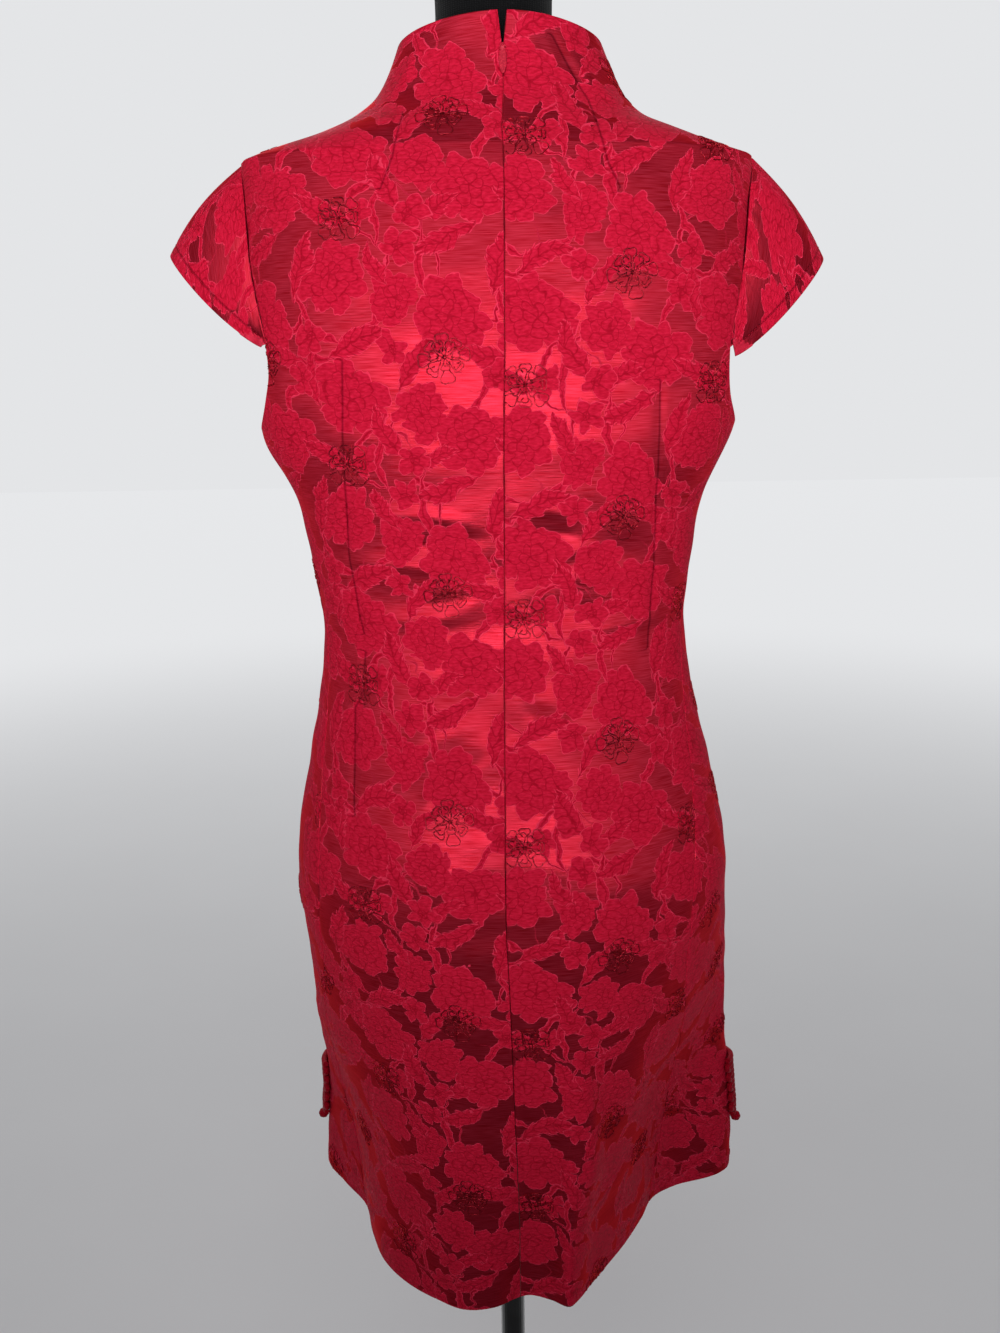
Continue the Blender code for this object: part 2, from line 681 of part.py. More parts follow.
def frog_from_edge(z, side):
    """How far from the panel's side edge the middle of the ornament lies."""
    return FROG_LINES[side].from_edge + FROG_LINES[side].lean * (FROG_TOP_Z - z)


def frog_route(grid, side):
    """A cord laid in stacked loops beside the side seam, from the slit's top downwards."""
    route = []
    lift = CORD_RADIUS + FROG_CLEAR
    for turn in range(FROG_PASSES):
        z = FROG_TOP_Z - turn * FROG_PITCH
        reach = FROG_HALF_WIDTH * (1.0 - FROG_TAPER * turn) * (1.0 if turn % 2 == 0 else -1.0)
        for share in (-0.85, -0.57, -0.28, 0.0, 0.28, 0.57, 0.85):
            route.append(above_front(grid, side, frog_from_edge(z, side) + reach * share, z, lift))
        if turn < FROG_PASSES - 1:
            z -= FROG_PITCH / 2
            route.append(above_front(grid, side, frog_from_edge(z, side) + reach, z, lift))
    return route


def frog(name, grid, side, collection, finish):
    """The corded ornament: one tube, with its ends capped."""
    curve = bpy.data.curves.new(name, "CURVE")
    curve.dimensions = "3D"
    curve.bevel_depth = CORD_RADIUS
    curve.bevel_resolution = 1
    curve.use_fill_caps = True
    route = frog_route(grid, side)
    spline = curve.splines.new("POLY")
    spline.points.add(len(route) - 1)
    for point, place in zip(spline.points, route):
        point.co = (*place, 1.0)
    curve.materials.append(finish)
    obj = bpy.data.objects.new(name, curve)
    collection.objects.link(obj)
    return obj


def frog_ball(name, grid, side, collection, finish):
    """The round knot that ends the ornament."""
    z = FROG_TOP_Z - (FROG_PASSES - 1) * FROG_PITCH - CORD_RADIUS - BALL_RADIUS - CLEAR
    place = above_front(grid, side, frog_from_edge(z, side), z, BALL_RADIUS + 2 * CLEAR)
    body = bmesh.new()
    at_place = Matrix.Translation(place)
    bmesh.ops.create_uvsphere(body, u_segments=12, v_segments=8, radius=BALL_RADIUS, matrix=at_place)
    return solid_object(name, body, collection, finish, smooth_below=180.0)


def zip_chain(collection, finish):
    """The closed coil behind the centre back seam, a flat strip that follows the back's inside."""
    half_width, thickness, behind = 0.0020, 0.0011, CLOTH_WALL + 0.0005
    funnel = (NECK_BASE_Z + (NECK_TOP_BACK_Z - NECK_BASE_Z) / FUNNEL_ROWS, BAR_Z - 0.0050)
    heights = [z for z in BODY_HEIGHTS if z >= ZIP_BOTTOM_Z - 1e-6] + list(funnel)
    outer, inner = [], []
    for z in heights:
        for grid, depth in ((outer, behind), (inner, behind + thickness)):
            middle = surface(seam_angle(z), z) - outward(seam_angle(z), z) * depth
            grid.append([middle + Vector((side * half_width, 0.0, 0.0)) for side in (-1, 1)])
    return cloth("zip_chain", outer, inner, collection, finish)


def bar_place():
    """The centre of the slider's bar, on which the pull tab hangs."""
    return on_seam(BAR_Z) + outward(seam_angle(BAR_Z), BAR_Z) * BAR_OUT


def on_seam(z):
    """A point of the centre back seam."""
    return surface(seam_angle(z), z)


def lean():
    """The angle from the vertical at which the tab lies along the cloth."""
    return math.atan2(on_seam(BAR_Z - TAB_LENGTH).y - on_seam(BAR_Z).y, TAB_LENGTH)


def box_at(body, low, high):
    size = Vector(high) - Vector(low)
    centre = (Vector(high) + Vector(low)) / 2
    bmesh.ops.create_cube(body, size=1.0, matrix=Matrix.Translation(centre) @ Matrix.Diagonal((*size, 1.0)))


def rod_at(body, centre, radius, half_length, segments=16):
    """A rod along X."""
    turn = Matrix.Translation(centre) @ Matrix.Rotation(math.pi / 2, 4, "Y")
    bmesh.ops.create_cone(
        body,
        cap_ends=True,
        segments=segments,
        radius1=radius,
        radius2=radius,
        depth=2 * half_length,
        matrix=turn,
    )


def cutter(name, body, collection):
    mesh = bpy.data.meshes.new(name)
    body.to_mesh(mesh)
    body.free()
    obj = bpy.data.objects.new(name, mesh)
    obj.hide_render = True
    obj.display_type = "WIRE"
    collection.objects.link(obj)
    return obj


def boolean(obj, other, operation):
    modifier = obj.modifiers.new(f"{operation.lower()}_{other.name}", "BOOLEAN")
    modifier.object = other
    modifier.operation = operation
    modifier.solver = "EXACT"


def zip_slider(parts, cutters, finish):
    """The slider behind the cloth, its stem through the parted edges, and the bar across the stem's end."""
    bar = bar_place()
    seam = on_seam(BAR_Z)
    body = bmesh.new()
    back_face = seam.y - CLOTH_WALL - 0.0010
    low = Vector((bar.x - SLIDER_HALF_WIDTH, back_face - SLIDER_THICKNESS, BAR_Z - SLIDER_HALF_LENGTH))
    box_at(body, low, (bar.x + SLIDER_HALF_WIDTH, back_face, BAR_Z + SLIDER_HALF_LENGTH))
    slider = solid_object("zip_slider", body, parts, finish, smooth_below=30.0)
    stem = bmesh.new()
    low = Vector((bar.x - STEM_HALF_WIDTH, back_face - SLIDER_THICKNESS / 2, BAR_Z - 0.0004))
    box_at(stem, low, (bar.x + STEM_HALF_WIDTH, bar.y + 0.0002, BAR_Z + 0.0026))
    boolean(slider, cutter("slider_stem", stem, cutters), "UNION")
    rod = bmesh.new()
    rod_at(rod, bar, BAR_RADIUS, BAR_HALF_LENGTH)
    boolean(slider, cutter("slider_bar", rod, cutters), "UNION")
    return slider


def zip_pull(parts, cutters, finish):
    """The pull tab: a tapered plate whose ears turn on the slider's bar. Its parent empty is on that axis."""
    hinge = bpy.data.objects.new("zip_pull_axis", None)
    hinge.location = bar_place()
    hinge.rotation_euler = (lean(), 0.0, 0.0)
    parts.objects.link(hinge)
    outline = [
        (-TAB_HALF_WIDTH * 0.72, -0.0012),
        (TAB_HALF_WIDTH * 0.72, -0.0012),
        (TAB_HALF_WIDTH * 0.80, -0.0060),
        (TAB_HALF_WIDTH, -TAB_LENGTH * 0.72),
        (TAB_HALF_WIDTH * 0.75, -TAB_LENGTH * 0.92),
        (0.0, -TAB_LENGTH),
        (-TAB_HALF_WIDTH * 0.75, -TAB_LENGTH * 0.92),
        (-TAB_HALF_WIDTH, -TAB_LENGTH * 0.72),
        (-TAB_HALF_WIDTH * 0.80, -0.0060),
    ]
    body = bmesh.new()
    half = TAB_THICKNESS / 2
    near, far = ([body.verts.new((x, y, z)) for x, z in outline] for y in (-half, half))
    body.faces.new(near)
    body.faces.new(far)
    for index in range(len(outline)):
        following = (index + 1) % len(outline)
        body.faces.new((near[index], near[following], far[following], far[index]))
    bmesh.ops.recalc_face_normals(body, faces=body.faces)
    pull = solid_object("zip_pull", body, parts, finish, smooth_below=30.0)
    pull.parent = hinge
    eye = bmesh.new()
    rod_at(eye, Vector((0.0, 0.0, 0.0)), EYE_RADIUS, TAB_HALF_WIDTH * 0.72 - 0.00002)
    slot = bmesh.new()
    box_at(slot, (-0.00085, -0.004, -0.0032), (0.00085, 0.004, 0.0040))
    bore = bmesh.new()
    rod_at(bore, Vector((0.0, 0.0, 0.0)), EYE_BORE, 0.006)
    for name, shape, operation in (
        ("pull_eye", eye, "UNION"),
        ("pull_slot", slot, "DIFFERENCE"),
        ("pull_bore", bore, "DIFFERENCE"),
    ):
        helper = cutter(name, shape, cutters)
        helper.parent = hinge
        boolean(pull, helper, operation)
    return pull


def main():
    clear_scene()
    parts = new_collection("cheongsam_dress_on_form")
    cutters = new_collection("cutters")
    damask = material("red_damask", CLOTH_RED, 0.42)
    cord = material("red_satin_cord", CORD_RED, 0.38)
    zip_finish = material("red_zip", ZIP_RED, 0.35)
    jersey = material("black_jersey", FORM_BLACK, 0.85)
    steel = material("black_steel", STAND_BLACK, 0.40, 0.6)

    front_places = rows_of(front_angles)
    front_grid = [[surface(*place) for place in row] for row in front_places]
    panel("front_panel", front_places, parts, damask)
    for word, side in (("left", 1), ("right", -1)):
        panel(f"back_panel_{word}", rows_of(back_angles(side)), parts, damask)
        cap_sleeve(f"cap_sleeve_{word}", side, parts, damask)
        frog(f"frog_cord_{word}", front_grid, side, parts, cord)
        frog_ball(f"frog_knot_{word}", front_grid, side, parts, cord)
    zip_chain(parts, zip_finish)
    zip_slider(parts, cutters, zip_finish)
    zip_pull(parts, cutters, zip_finish)
    dress_form(parts, jersey)
    stand_pole(parts, steel)
    stand_base(parts, steel)


main()
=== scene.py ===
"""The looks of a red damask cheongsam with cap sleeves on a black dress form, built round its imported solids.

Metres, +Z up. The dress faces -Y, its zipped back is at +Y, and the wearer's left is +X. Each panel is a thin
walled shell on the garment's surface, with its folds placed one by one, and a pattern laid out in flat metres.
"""

import json
import math
from collections import namedtuple

import bmesh
import bpy
import numpy as np
from mathutils import Matrix, Vector
from mathutils.kdtree import KDTree

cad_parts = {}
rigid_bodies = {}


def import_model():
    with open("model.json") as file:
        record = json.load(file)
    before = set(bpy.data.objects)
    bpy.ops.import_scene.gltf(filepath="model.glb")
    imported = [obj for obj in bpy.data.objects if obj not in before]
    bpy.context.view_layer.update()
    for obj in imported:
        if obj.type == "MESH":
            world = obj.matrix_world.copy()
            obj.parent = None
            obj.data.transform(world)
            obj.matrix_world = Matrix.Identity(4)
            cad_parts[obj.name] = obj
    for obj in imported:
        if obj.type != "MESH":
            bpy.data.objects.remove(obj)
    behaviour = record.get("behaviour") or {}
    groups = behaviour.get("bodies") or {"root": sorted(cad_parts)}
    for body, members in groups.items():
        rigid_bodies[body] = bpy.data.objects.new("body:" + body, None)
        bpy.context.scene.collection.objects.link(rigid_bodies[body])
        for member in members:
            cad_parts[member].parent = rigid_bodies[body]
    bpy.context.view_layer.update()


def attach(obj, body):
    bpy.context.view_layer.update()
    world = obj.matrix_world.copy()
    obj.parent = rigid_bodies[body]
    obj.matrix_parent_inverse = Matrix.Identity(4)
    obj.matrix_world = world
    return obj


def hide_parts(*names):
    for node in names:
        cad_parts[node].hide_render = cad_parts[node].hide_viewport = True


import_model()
DRESS, PULL = "dress_on_form", "zip_tab"


def named(kind, rows):
    """A table of numbers whose columns have names."""
    return tuple(kind(*row) for row in rows)


# Driving dimensions of the dress, as its solids have them
WALL = 0.0016
SEAM_GAP = 0.00036
HEM_Z = 0.460
SLIT_TOP_Z = 0.612
SLIT_OPEN = 0.0016
UNDERARM_Z = 1.178
SHOULDER_Z = 1.370
NECK_BASE_Z = 1.4035
NECK_TOP_BACK_Z = 1.457
NECK_TOP_SIDE_Z = 1.445
NECK_TOP_FRONT_Z = 1.424
ZIP_BOTTOM_Z = 0.866
ZIP_CLOSED_Z = 1.4245
ZIP_TOP_SPREAD = 0.0052
FORM_BOTTOM_Z = 0.757
SHOULDER_SEAT = 0.0026
NECK_RADIUS = 0.0417
FORM_TOP_Z = 1.500

# How densely the cloth is meshed, and how its edges are rounded
ROW_STEP = 0.0028
BACK_COLUMNS = 72
FRONT_COLUMNS = 112
EDGE_STEPS = np.array((0.0, 0.00012, 0.00040, 0.00080))
EDGE_ROUND = WALL / 2

# The garment's outer surface: half width, back and front reach, where the side lies, and how square each
# half is
Section = namedtuple(
    "Section", "z half_width back front side_y back_power front_power pinch_left pinch_right shift seam_x"
)
BODY = named(Section, (
    (HEM_Z, 0.195, 0.094, -0.112, -0.058, 2.30, 2.5, 0.18, 0.34, -0.0103, 0.0035),
    (0.530, 0.193, 0.099, -0.112, -0.052, 2.28, 2.5, 0.18, 0.31, -0.0110, 0.0045),
    (0.600, 0.187, 0.107, -0.113, -0.042, 2.25, 2.4, 0.13, 0.25, -0.0110, 0.0060),
    (0.680, 0.1840, 0.117, -0.115, -0.026, 2.22, 2.3, 0.07, 0.16, -0.0105, 0.0075),
    (0.760, 0.1805, 0.127, -0.117, -0.010, 2.20, 2.2, 0.03, 0.07, -0.0080, 0.0070),
    (0.820, 0.1785, 0.132, -0.118, 0.000, 2.15, 2.2, 0.00, 0.01, -0.0055, 0.0065),
    (0.870, 0.1730, 0.131, -0.117, 0.003, 2.15, 2.2, 0.00, 0.00, -0.0040, 0.0050),
    (0.920, 0.1620, 0.122, -0.114, 0.004, 2.15, 2.2, 0.00, 0.00, -0.0030, 0.0035),
    (0.975, 0.1500, 0.108, -0.108, 0.003, 2.15, 2.2, 0.00, 0.00, -0.0020, 0.0020),
    (1.025, 0.1430, 0.098, -0.102, 0.002, 2.20, 2.2, 0.00, 0.00, -0.0012, 0.0005),
    (1.080, 0.1480, 0.101, -0.107, 0.002, 2.25, 2.2, 0.00, 0.00, 0.0000, -0.0015),
    (1.130, 0.1570, 0.108, -0.118, 0.002, 2.30, 2.2, 0.00, 0.00, 0.0008, -0.0028),
    (UNDERARM_Z, 0.1790, 0.114, -0.124, 0.002, 2.35, 2.3, 0.00, 0.00, 0.0010, -0.0035),
    (1.240, 0.1855, 0.118, -0.121, 0.004, 2.40, 2.3, 0.00, 0.00, 0.0002, -0.0040),
    (1.300, 0.1860, 0.114, -0.105, 0.006, 2.35, 2.3, 0.00, 0.00, 0.0000, -0.0045),
    (1.345, 0.1850, 0.103, -0.082, 0.009, 2.20, 2.2, 0.00, 0.00, -0.0005, -0.0045),
    (SHOULDER_Z, 0.1845, 0.094, -0.066, 0.011, 2.05, 2.1, 0.00, 0.00, -0.0008, -0.0040),
))
YOKE = (BODY[-1],) + named(Section, (
    (1.3795, 0.1540, 0.089, -0.062, 0.012, 2.05, 2.1, 0.00, 0.00, 0.0000, -0.0040),
    (1.387, 0.1300, 0.085, -0.059, 0.012, 2.05, 2.1, 0.00, 0.00, -0.0010, -0.0035),
    (1.395, 0.1090, 0.080, -0.057, 0.012, 2.05, 2.1, 0.00, 0.00, -0.0020, -0.0030),
    (NECK_BASE_Z, 0.0960, 0.075, -0.056, 0.012, 2.05, 2.1, 0.00, 0.00, -0.0030, -0.0025),
    (1.412, 0.0880, 0.071, -0.055, 0.011, 2.05, 2.1, 0.00, 0.00, -0.0035, -0.0020),
    (1.428, 0.0795, 0.066, -0.054, 0.010, 2.05, 2.1, 0.00, 0.00, -0.0040, -0.0015),
    (1.446, 0.0723, 0.0625, -0.053, 0.008, 2.05, 2.1, 0.00, 0.00, -0.0043, -0.0012),
    (1.460, 0.0690, 0.0610, -0.052, 0.008, 2.05, 2.1, 0.00, 0.00, -0.0045, -0.0012),
))

# The hem's plan, as its reach at each angle about the hem section's centre, and where its folds die out
HemReach = namedtuple("HemReach", "angle reach")
HEM_PLAN = named(HemReach, (
    (-180.0, 0.054), (-160.0, 0.0585), (-140.0, 0.0715), (-124.0, 0.0970), (-113.0, 0.1370),
    (-106.0, 0.1760), (-101.0, 0.2010), (-97.0, 0.2060), (-93.0, 0.1900), (-88.0, 0.1500), (-80.0, 0.1260),
    (-66.0, 0.1205), (-52.0, 0.1216), (-36.0, 0.1300), (-23.5, 0.1440), (-16.5, 0.1570), (-13.0, 0.1620),
    (-8.5, 0.1520), (-2.0, 0.1445), (3.0, 0.1480), (9.0, 0.1590), (18.0, 0.1670), (27.0, 0.1645),
    (38.0, 0.1620), (51.0, 0.1585), (64.0, 0.1520), (80.0, 0.1500), (93.0, 0.1720), (100.0, 0.1910),
    (104.0, 0.1960), (108.0, 0.1800), (114.0, 0.1340), (125.0, 0.0960), (140.0, 0.0700), (160.0, 0.0570),
    (180.0, 0.0540),
))
HEM_FOLDS_TOP_Z = 0.740
PINCH_START_DEG = 8.0
PINCH_SKEW = 1.6

# Where the side seam runs, and the armhole's edge on each panel, as angles from the centre back
SideSeam = namedtuple("SideSeam", "z left right")
SIDE_SEAM = named(SideSeam, (
    (HEM_Z, 79.0, 76.5), (0.530, 81.0, 79.0), (0.600, 82.5, 75.5), (0.660, 79.0, 68.5), (0.710, 73.0, 63.0),
    (0.760, 68.0, 59.0), (0.820, 64.5, 58.0), (0.870, 65.0, 61.0), (0.940, 70.0, 68.0), (1.025, 77.0, 76.0),
    (1.100, 83.0, 83.0), (UNDERARM_Z, 90.0, 90.0),
))
Armhole = namedtuple("Armhole", "z back_angle front_angle")
ARMHOLE = named(Armhole, (
    (UNDERARM_Z, 90, 90), (1.183, 82, 94), (1.191, 76, 97), (1.204, 71.5, 101), (1.226, 68.5, 107),
    (1.255, 69.5, 111), (1.290, 74, 111), (1.330, 79.5, 106), (1.356, 84.5, 98), (SHOULDER_Z, 90, 90),
))

# Soft rounded swells and troughs: the bust, and the folds in which the skirt falls
Fold = namedtuple("Fold", "angle spread_deg z spread_z out")
FOLDS = named(Fold, (
    (144, 15, 1.198, 0.046, 0.017), (-144, 15, 1.198, 0.046, 0.017), (27, 11, 0.850, 0.060, 0.004),
    (-27, 11, 0.850, 0.060, 0.004), (-18, 6, 0.570, 0.070, 0.005), (126, 7, 0.450, 0.120, 0.006),
    (150, 12, 0.450, 0.100, -0.004), (178, 16, 0.450, 0.120, 0.007), (-148, 12, 0.450, 0.110, -0.004),
    (-124, 7, 0.450, 0.100, 0.005),
))

# The creases: where each runs on the back or the front as (x, z), how wide it is, how far it stands out,
# and how far its middle bows to one side
Crease = namedtuple("Crease", "x0 z0 x1 z1 width out bow")
BACK_CREASES = named(Crease, (
    (0.095, 1.125, 0.020, 1.118, 0.0045, 0.0013, 0.003),
    (0.010, 1.108, 0.075, 1.098, 0.0050, -0.0014, -0.002),
    (0.118, 1.088, 0.030, 1.082, 0.0050, 0.0013, 0.004),
    (0.015, 1.068, 0.070, 1.060, 0.0045, -0.0012, 0.002),
    (0.105, 1.048, 0.024, 1.052, 0.0055, 0.0012, -0.003),
    (-0.008, 1.128, -0.060, 1.121, 0.0040, 0.0013, 0.002),
    (-0.010, 1.112, -0.055, 1.108, 0.0040, -0.0015, 0.001),
    (-0.012, 1.098, -0.072, 1.101, 0.0045, 0.0014, -0.003),
    (-0.040, 1.076, -0.108, 1.080, 0.0050, 0.0012, 0.002),
    (-0.015, 1.060, -0.080, 1.055, 0.0050, -0.0013, -0.003),
    (-0.060, 1.036, -0.125, 1.042, 0.0050, 0.0011, 0.002),
    (0.062, 0.908, 0.014, 0.952, 0.0060, 0.0020, 0.004),
    (0.078, 0.930, 0.030, 0.968, 0.0070, -0.0014, 0.004),
    (-0.012, 0.985, -0.050, 0.972, 0.0060, 0.0012, -0.003),
    (0.008, 0.864, 0.030, 0.850, 0.0040, -0.0012, 0.000),
    (-0.002, 0.858, -0.022, 0.846, 0.0040, 0.0012, 0.000),
    (-0.046, 0.730, -0.066, 0.560, 0.0090, 0.0042, 0.006),
    (-0.028, 0.700, -0.030, 0.540, 0.0110, -0.0022, 0.000),
    (-0.098, 0.700, -0.120, 0.540, 0.0120, 0.0020, -0.006),
    (0.060, 0.640, 0.072, 0.500, 0.0150, 0.0020, 0.004),
    (0.110, 0.700, 0.128, 0.520, 0.0130, -0.0018, 0.006),
    (0.052, 1.438, 0.074, 1.404, 0.0040, 0.0011, 0.002),
    (0.034, 1.430, 0.052, 1.396, 0.0045, -0.0010, 0.002),
    (-0.052, 1.432, -0.086, 1.398, 0.0040, 0.0011, -0.002),
    (-0.024, 1.440, -0.040, 1.402, 0.0050, 0.0012, -0.001),
    (0.120, 1.300, 0.086, 1.270, 0.0070, 0.0012, 0.003),
    (-0.122, 1.300, -0.084, 1.262, 0.0070, 0.0013, -0.003),
    (0.138, 1.238, 0.104, 1.222, 0.0060, 0.0012, 0.002),
    (-0.140, 1.232, -0.106, 1.214, 0.0060, 0.0012, 0.002),
    (0.060, 1.332, 0.018, 1.326, 0.0080, 0.0010, 0.002),
    (-0.016, 1.318, -0.060, 1.324, 0.0080, 0.0011, -0.002),
))
FRONT_CREASES = named(Crease, (
    (0.100, 1.110, 0.030, 1.098, 0.0050, 0.0013, 0.003),
    (-0.030, 1.104, -0.098, 1.112, 0.0050, 0.0013, -0.003),
    (0.110, 1.072, 0.040, 1.066, 0.0055, -0.0013, 0.002),
    (-0.044, 1.070, -0.118, 1.064, 0.0055, 0.0012, 0.002),
    (0.070, 1.040, -0.010, 1.036, 0.0060, 0.0012, 0.003),
    (-0.020, 1.022, -0.090, 1.030, 0.0060, -0.0012, 0.002),
    (0.118, 0.930, 0.050, 0.900, 0.0080, 0.0015, 0.004),
    (-0.120, 0.922, -0.056, 0.890, 0.0080, 0.0016, -0.004),
    (0.050, 0.720, 0.062, 0.520, 0.0130, 0.0024, 0.006),
    (-0.044, 0.700, -0.058, 0.500, 0.0130, 0.0022, -0.005),
    (0.004, 0.640, -0.006, 0.480, 0.0140, -0.0020, 0.004),
    (0.128, 1.268, 0.096, 1.238, 0.0070, 0.0012, 0.003),
    (-0.128, 1.262, -0.094, 1.236, 0.0070, 0.0012, -0.003),
    (0.050, 1.404, 0.062, 1.372, 0.0050, 0.0010, 0.002),
    (-0.046, 1.406, -0.060, 1.374, 0.0050, 0.0010, -0.002),
))

# Sewn lines on the panels as (x, z) points: waist darts, back neck darts and bust darts
BACK_DARTS = (
    ((0.1065, 1.231), (0.1110, 1.160), (0.1120, 1.096), (0.1040, 1.034)),
    ((0.1035, 1.020), (0.1085, 0.985), (0.1130, 0.978), (0.1145, 0.898)),
    ((0.0625, 1.392), (0.0660, 1.376), (0.0690, 1.362), (0.0775, 1.341)),
    ((-0.1105, 1.215), (-0.1110, 1.160), (-0.1120, 1.082), (-0.1080, 1.020)),
    ((-0.0395, 1.442), (-0.0640, 1.399), (-0.0745, 1.356), (-0.0820, 1.339)),
)
FRONT_DARTS = (
    ((0.0830, 1.130), (0.0850, 1.060), (0.0840, 1.000), (0.0800, 0.930)),
    ((-0.0830, 1.130), (-0.0850, 1.060), (-0.0840, 1.000), (-0.0800, 0.930)),
    ((0.1560, 1.150), (0.1380, 1.166), (0.1180, 1.180), (0.1050, 1.188)),
    ((-0.1560, 1.150), (-0.1380, 1.166), (-0.1180, 1.180), (-0.1050, 1.188)),
)
DART_WIDTH = 0.0032
DART_DEPTH = 0.0009
NO_LINE = 0.05

# The cloth's flat layout: the damask's repeat, and where each piece lies on it
TILE_WIDTH = 0.140
TILE_HEIGHT = 0.164
GRAIN_TURN_Z = 1.300


def between(rows, z, column):
    """A column of a table read at heights z along a smooth curve through its rows."""
    table = np.array(rows, float)
    heights, values = table[:, 0], table[:, column]
    low = np.clip(np.arange(len(table)) - 1, 0, None)
    high = np.clip(np.arange(len(table)) + 1, None, len(table) - 1)
    slopes = (values[high] - values[low]) / (heights[high] - heights[low])
    z = np.clip(z, heights[0], heights[-1])
    index = np.clip(np.searchsorted(heights, z, side="left") - 1, 0, len(table) - 2)
    span = heights[index + 1] - heights[index]
    t = (z - heights[index]) / span
    return (
        (2 * t**3 - 3 * t**2 + 1) * values[index]
        + (t**3 - 2 * t**2 + t) * slopes[index] * span
        + (3 * t**2 - 2 * t**3) * values[index + 1]
        + (t**3 - t**2) * slopes[index + 1] * span
    )


def section_at(z):
    z = np.asarray(z, float)
    columns = [
        np.where(z <= SHOULDER_Z, between(BODY, z, column), between(YOKE, z, column))
        for column in range(1, len(Section._fields))
    ]
    return Section(z, *columns)


def turned(angle):
    """The angle brought into -180 to 180 degrees."""
    return (np.asarray(angle, float) + 180.0) % 360.0 - 180.0


def fold_out(angle, z):
    """How far the folds move the surface outwards."""
    return sum(
        fold.out
        * np.exp(-((turned(angle - fold.angle) / fold.spread_deg) ** 2))
        * np.exp(-(((z - fold.z) / fold.spread_z) ** 2))
        for fold in FOLDS
    )


def pinch(section, angle):
    """The share by which the back half draws in at this angle."""
    around = np.abs(turned(angle))
    share = np.clip((around - PINCH_START_DEG) / (90.0 - PINCH_START_DEG), 0.0, 1.0)
    depth = np.where(turned(angle) > 0, section.pinch_left, section.pinch_right)
    return depth * np.sin(math.pi * share**PINCH_SKEW)


def hem_share(z):
    """How much of the hem's plan is felt at this height."""
    low = np.clip((HEM_FOLDS_TOP_Z - z) / (HEM_FOLDS_TOP_Z - HEM_Z), 0.0, 1.0)
    return low * low * (3.0 - 2.0 * low)


def surface(angle, z):
    """Points of the garment's outer surface."""
    angle, z = np.broadcast_arrays(np.asarray(angle, float), np.asarray(z, float))
    section = section_at(z)
    across, along = np.sin(np.radians(angle)), np.cos(np.radians(angle))
    behind = along >= 0.0
    depth = np.where(behind, section.back - section.side_y, section.side_y - section.front)
    power = np.where(behind, section.back_power, section.front_power)
    reach = np.abs(across / section.half_width) ** power + np.abs(along / depth) ** power
    reach = reach ** (-1.0 / power) * (1.0 - pinch(section, angle))
    reach = reach + (between(HEM_PLAN, turned(angle), 1) - reach) * hem_share(z)
    reach = reach + fold_out(angle, z)
    return np.stack((section.shift + reach * across, section.side_y + reach * along, z), axis=-1)


def unit(vectors):
    return vectors / np.maximum(np.linalg.norm(vectors, axis=-1, keepdims=True), 1e-12)


def lengths_along(points):
    """How far along a run of points each one lies."""
    return np.concatenate(((0.0,), np.cumsum(np.linalg.norm(np.diff(points, axis=0), axis=-1))))


def ring_faces(low, high, count):
    """The faces between two rings of points, given the first point of each."""
    pairs = [(step, (step + 1) % count) for step in range(count)]
    return [(low + step, low + after, high + after, high + step) for step, after in pairs]


def outward(angle, z):
    """The unit normals of the garment's surface."""
    step_deg, step_z = 0.5, 0.0006
    around = surface(angle + step_deg, z) - surface(angle - step_deg, z)
    up = surface(angle, z + step_z) - surface(angle, z - step_z)
    normal = unit(np.cross(up, around))
    point = surface(angle, z)
    section = section_at(point[..., 2])
    centre = np.stack((section.shift, section.side_y, point[..., 2]), axis=-1)
    facing = np.sum(normal * (point - centre), axis=-1, keepdims=True)
    return np.where(facing > 0, normal, -normal)


def seam_angle(z):
    """The angle of the centre back seam."""
    section = section_at(z)
    return np.degrees(np.arctan2(section.seam_x, section.back - section.side_y))


def neck_top(angle):
    """The height of the neckline's edge."""
    along = np.cos(np.radians(angle))
    rise = np.where(along > 0, NECK_TOP_BACK_Z - NECK_TOP_SIDE_Z, NECK_TOP_SIDE_Z - NECK_TOP_FRONT_Z)
    return NECK_TOP_SIDE_Z + rise * along


def edge_angle(z, in_front, side):
    """The angle of a panel's outer edge on one side: side seam, armhole, then shoulder and neck seam."""
    z = np.asarray(z, float)
    armhole = between(ARMHOLE, z, 2 if in_front else 1)
    seam = between(SIDE_SEAM, z, 1 if side > 0 else 2)
    return np.where(z <= UNDERARM_Z, seam, np.where(z < SHOULDER_Z, armhole, 90.0))


def slit_gap(z):
    """Half of the opening between the panels at the side, widening down the slit."""
    below = np.clip((SLIT_TOP_Z - z) / (SLIT_TOP_Z - HEM_Z), 0.0, None)
    return SEAM_GAP / 2 + SLIT_OPEN / 2 * below


def zip_gap(z):
    """Half of the gap between the two backs, which spreads above the zip's slider."""
    above = np.clip((z - ZIP_CLOSED_Z) / (NECK_TOP_BACK_Z - ZIP_CLOSED_Z), 0.0, None)
    return SEAM_GAP / 2 + ZIP_TOP_SPREAD * above**1.2


def side_edge(z, in_front, side):
    """The angle of a panel's outer edge, with its share of the gap."""
    gap = np.degrees(slit_gap(z) / section_at(z).half_width)
    return edge_angle(z, in_front, side) + (gap if in_front else -gap)


def front_span(z):
    return side_edge(z, True, 1), 360.0 - side_edge(z, True, -1)


def back_span(side):
    """The first and last angle across one back panel at each height, for side +1 or -1."""

    def span(z):
        section = section_at(z)
        gap = side * np.degrees(zip_gap(z) / (section.back - section.side_y))
        return seam_angle(z) + gap, side * side_edge(z, False, side)

    return span


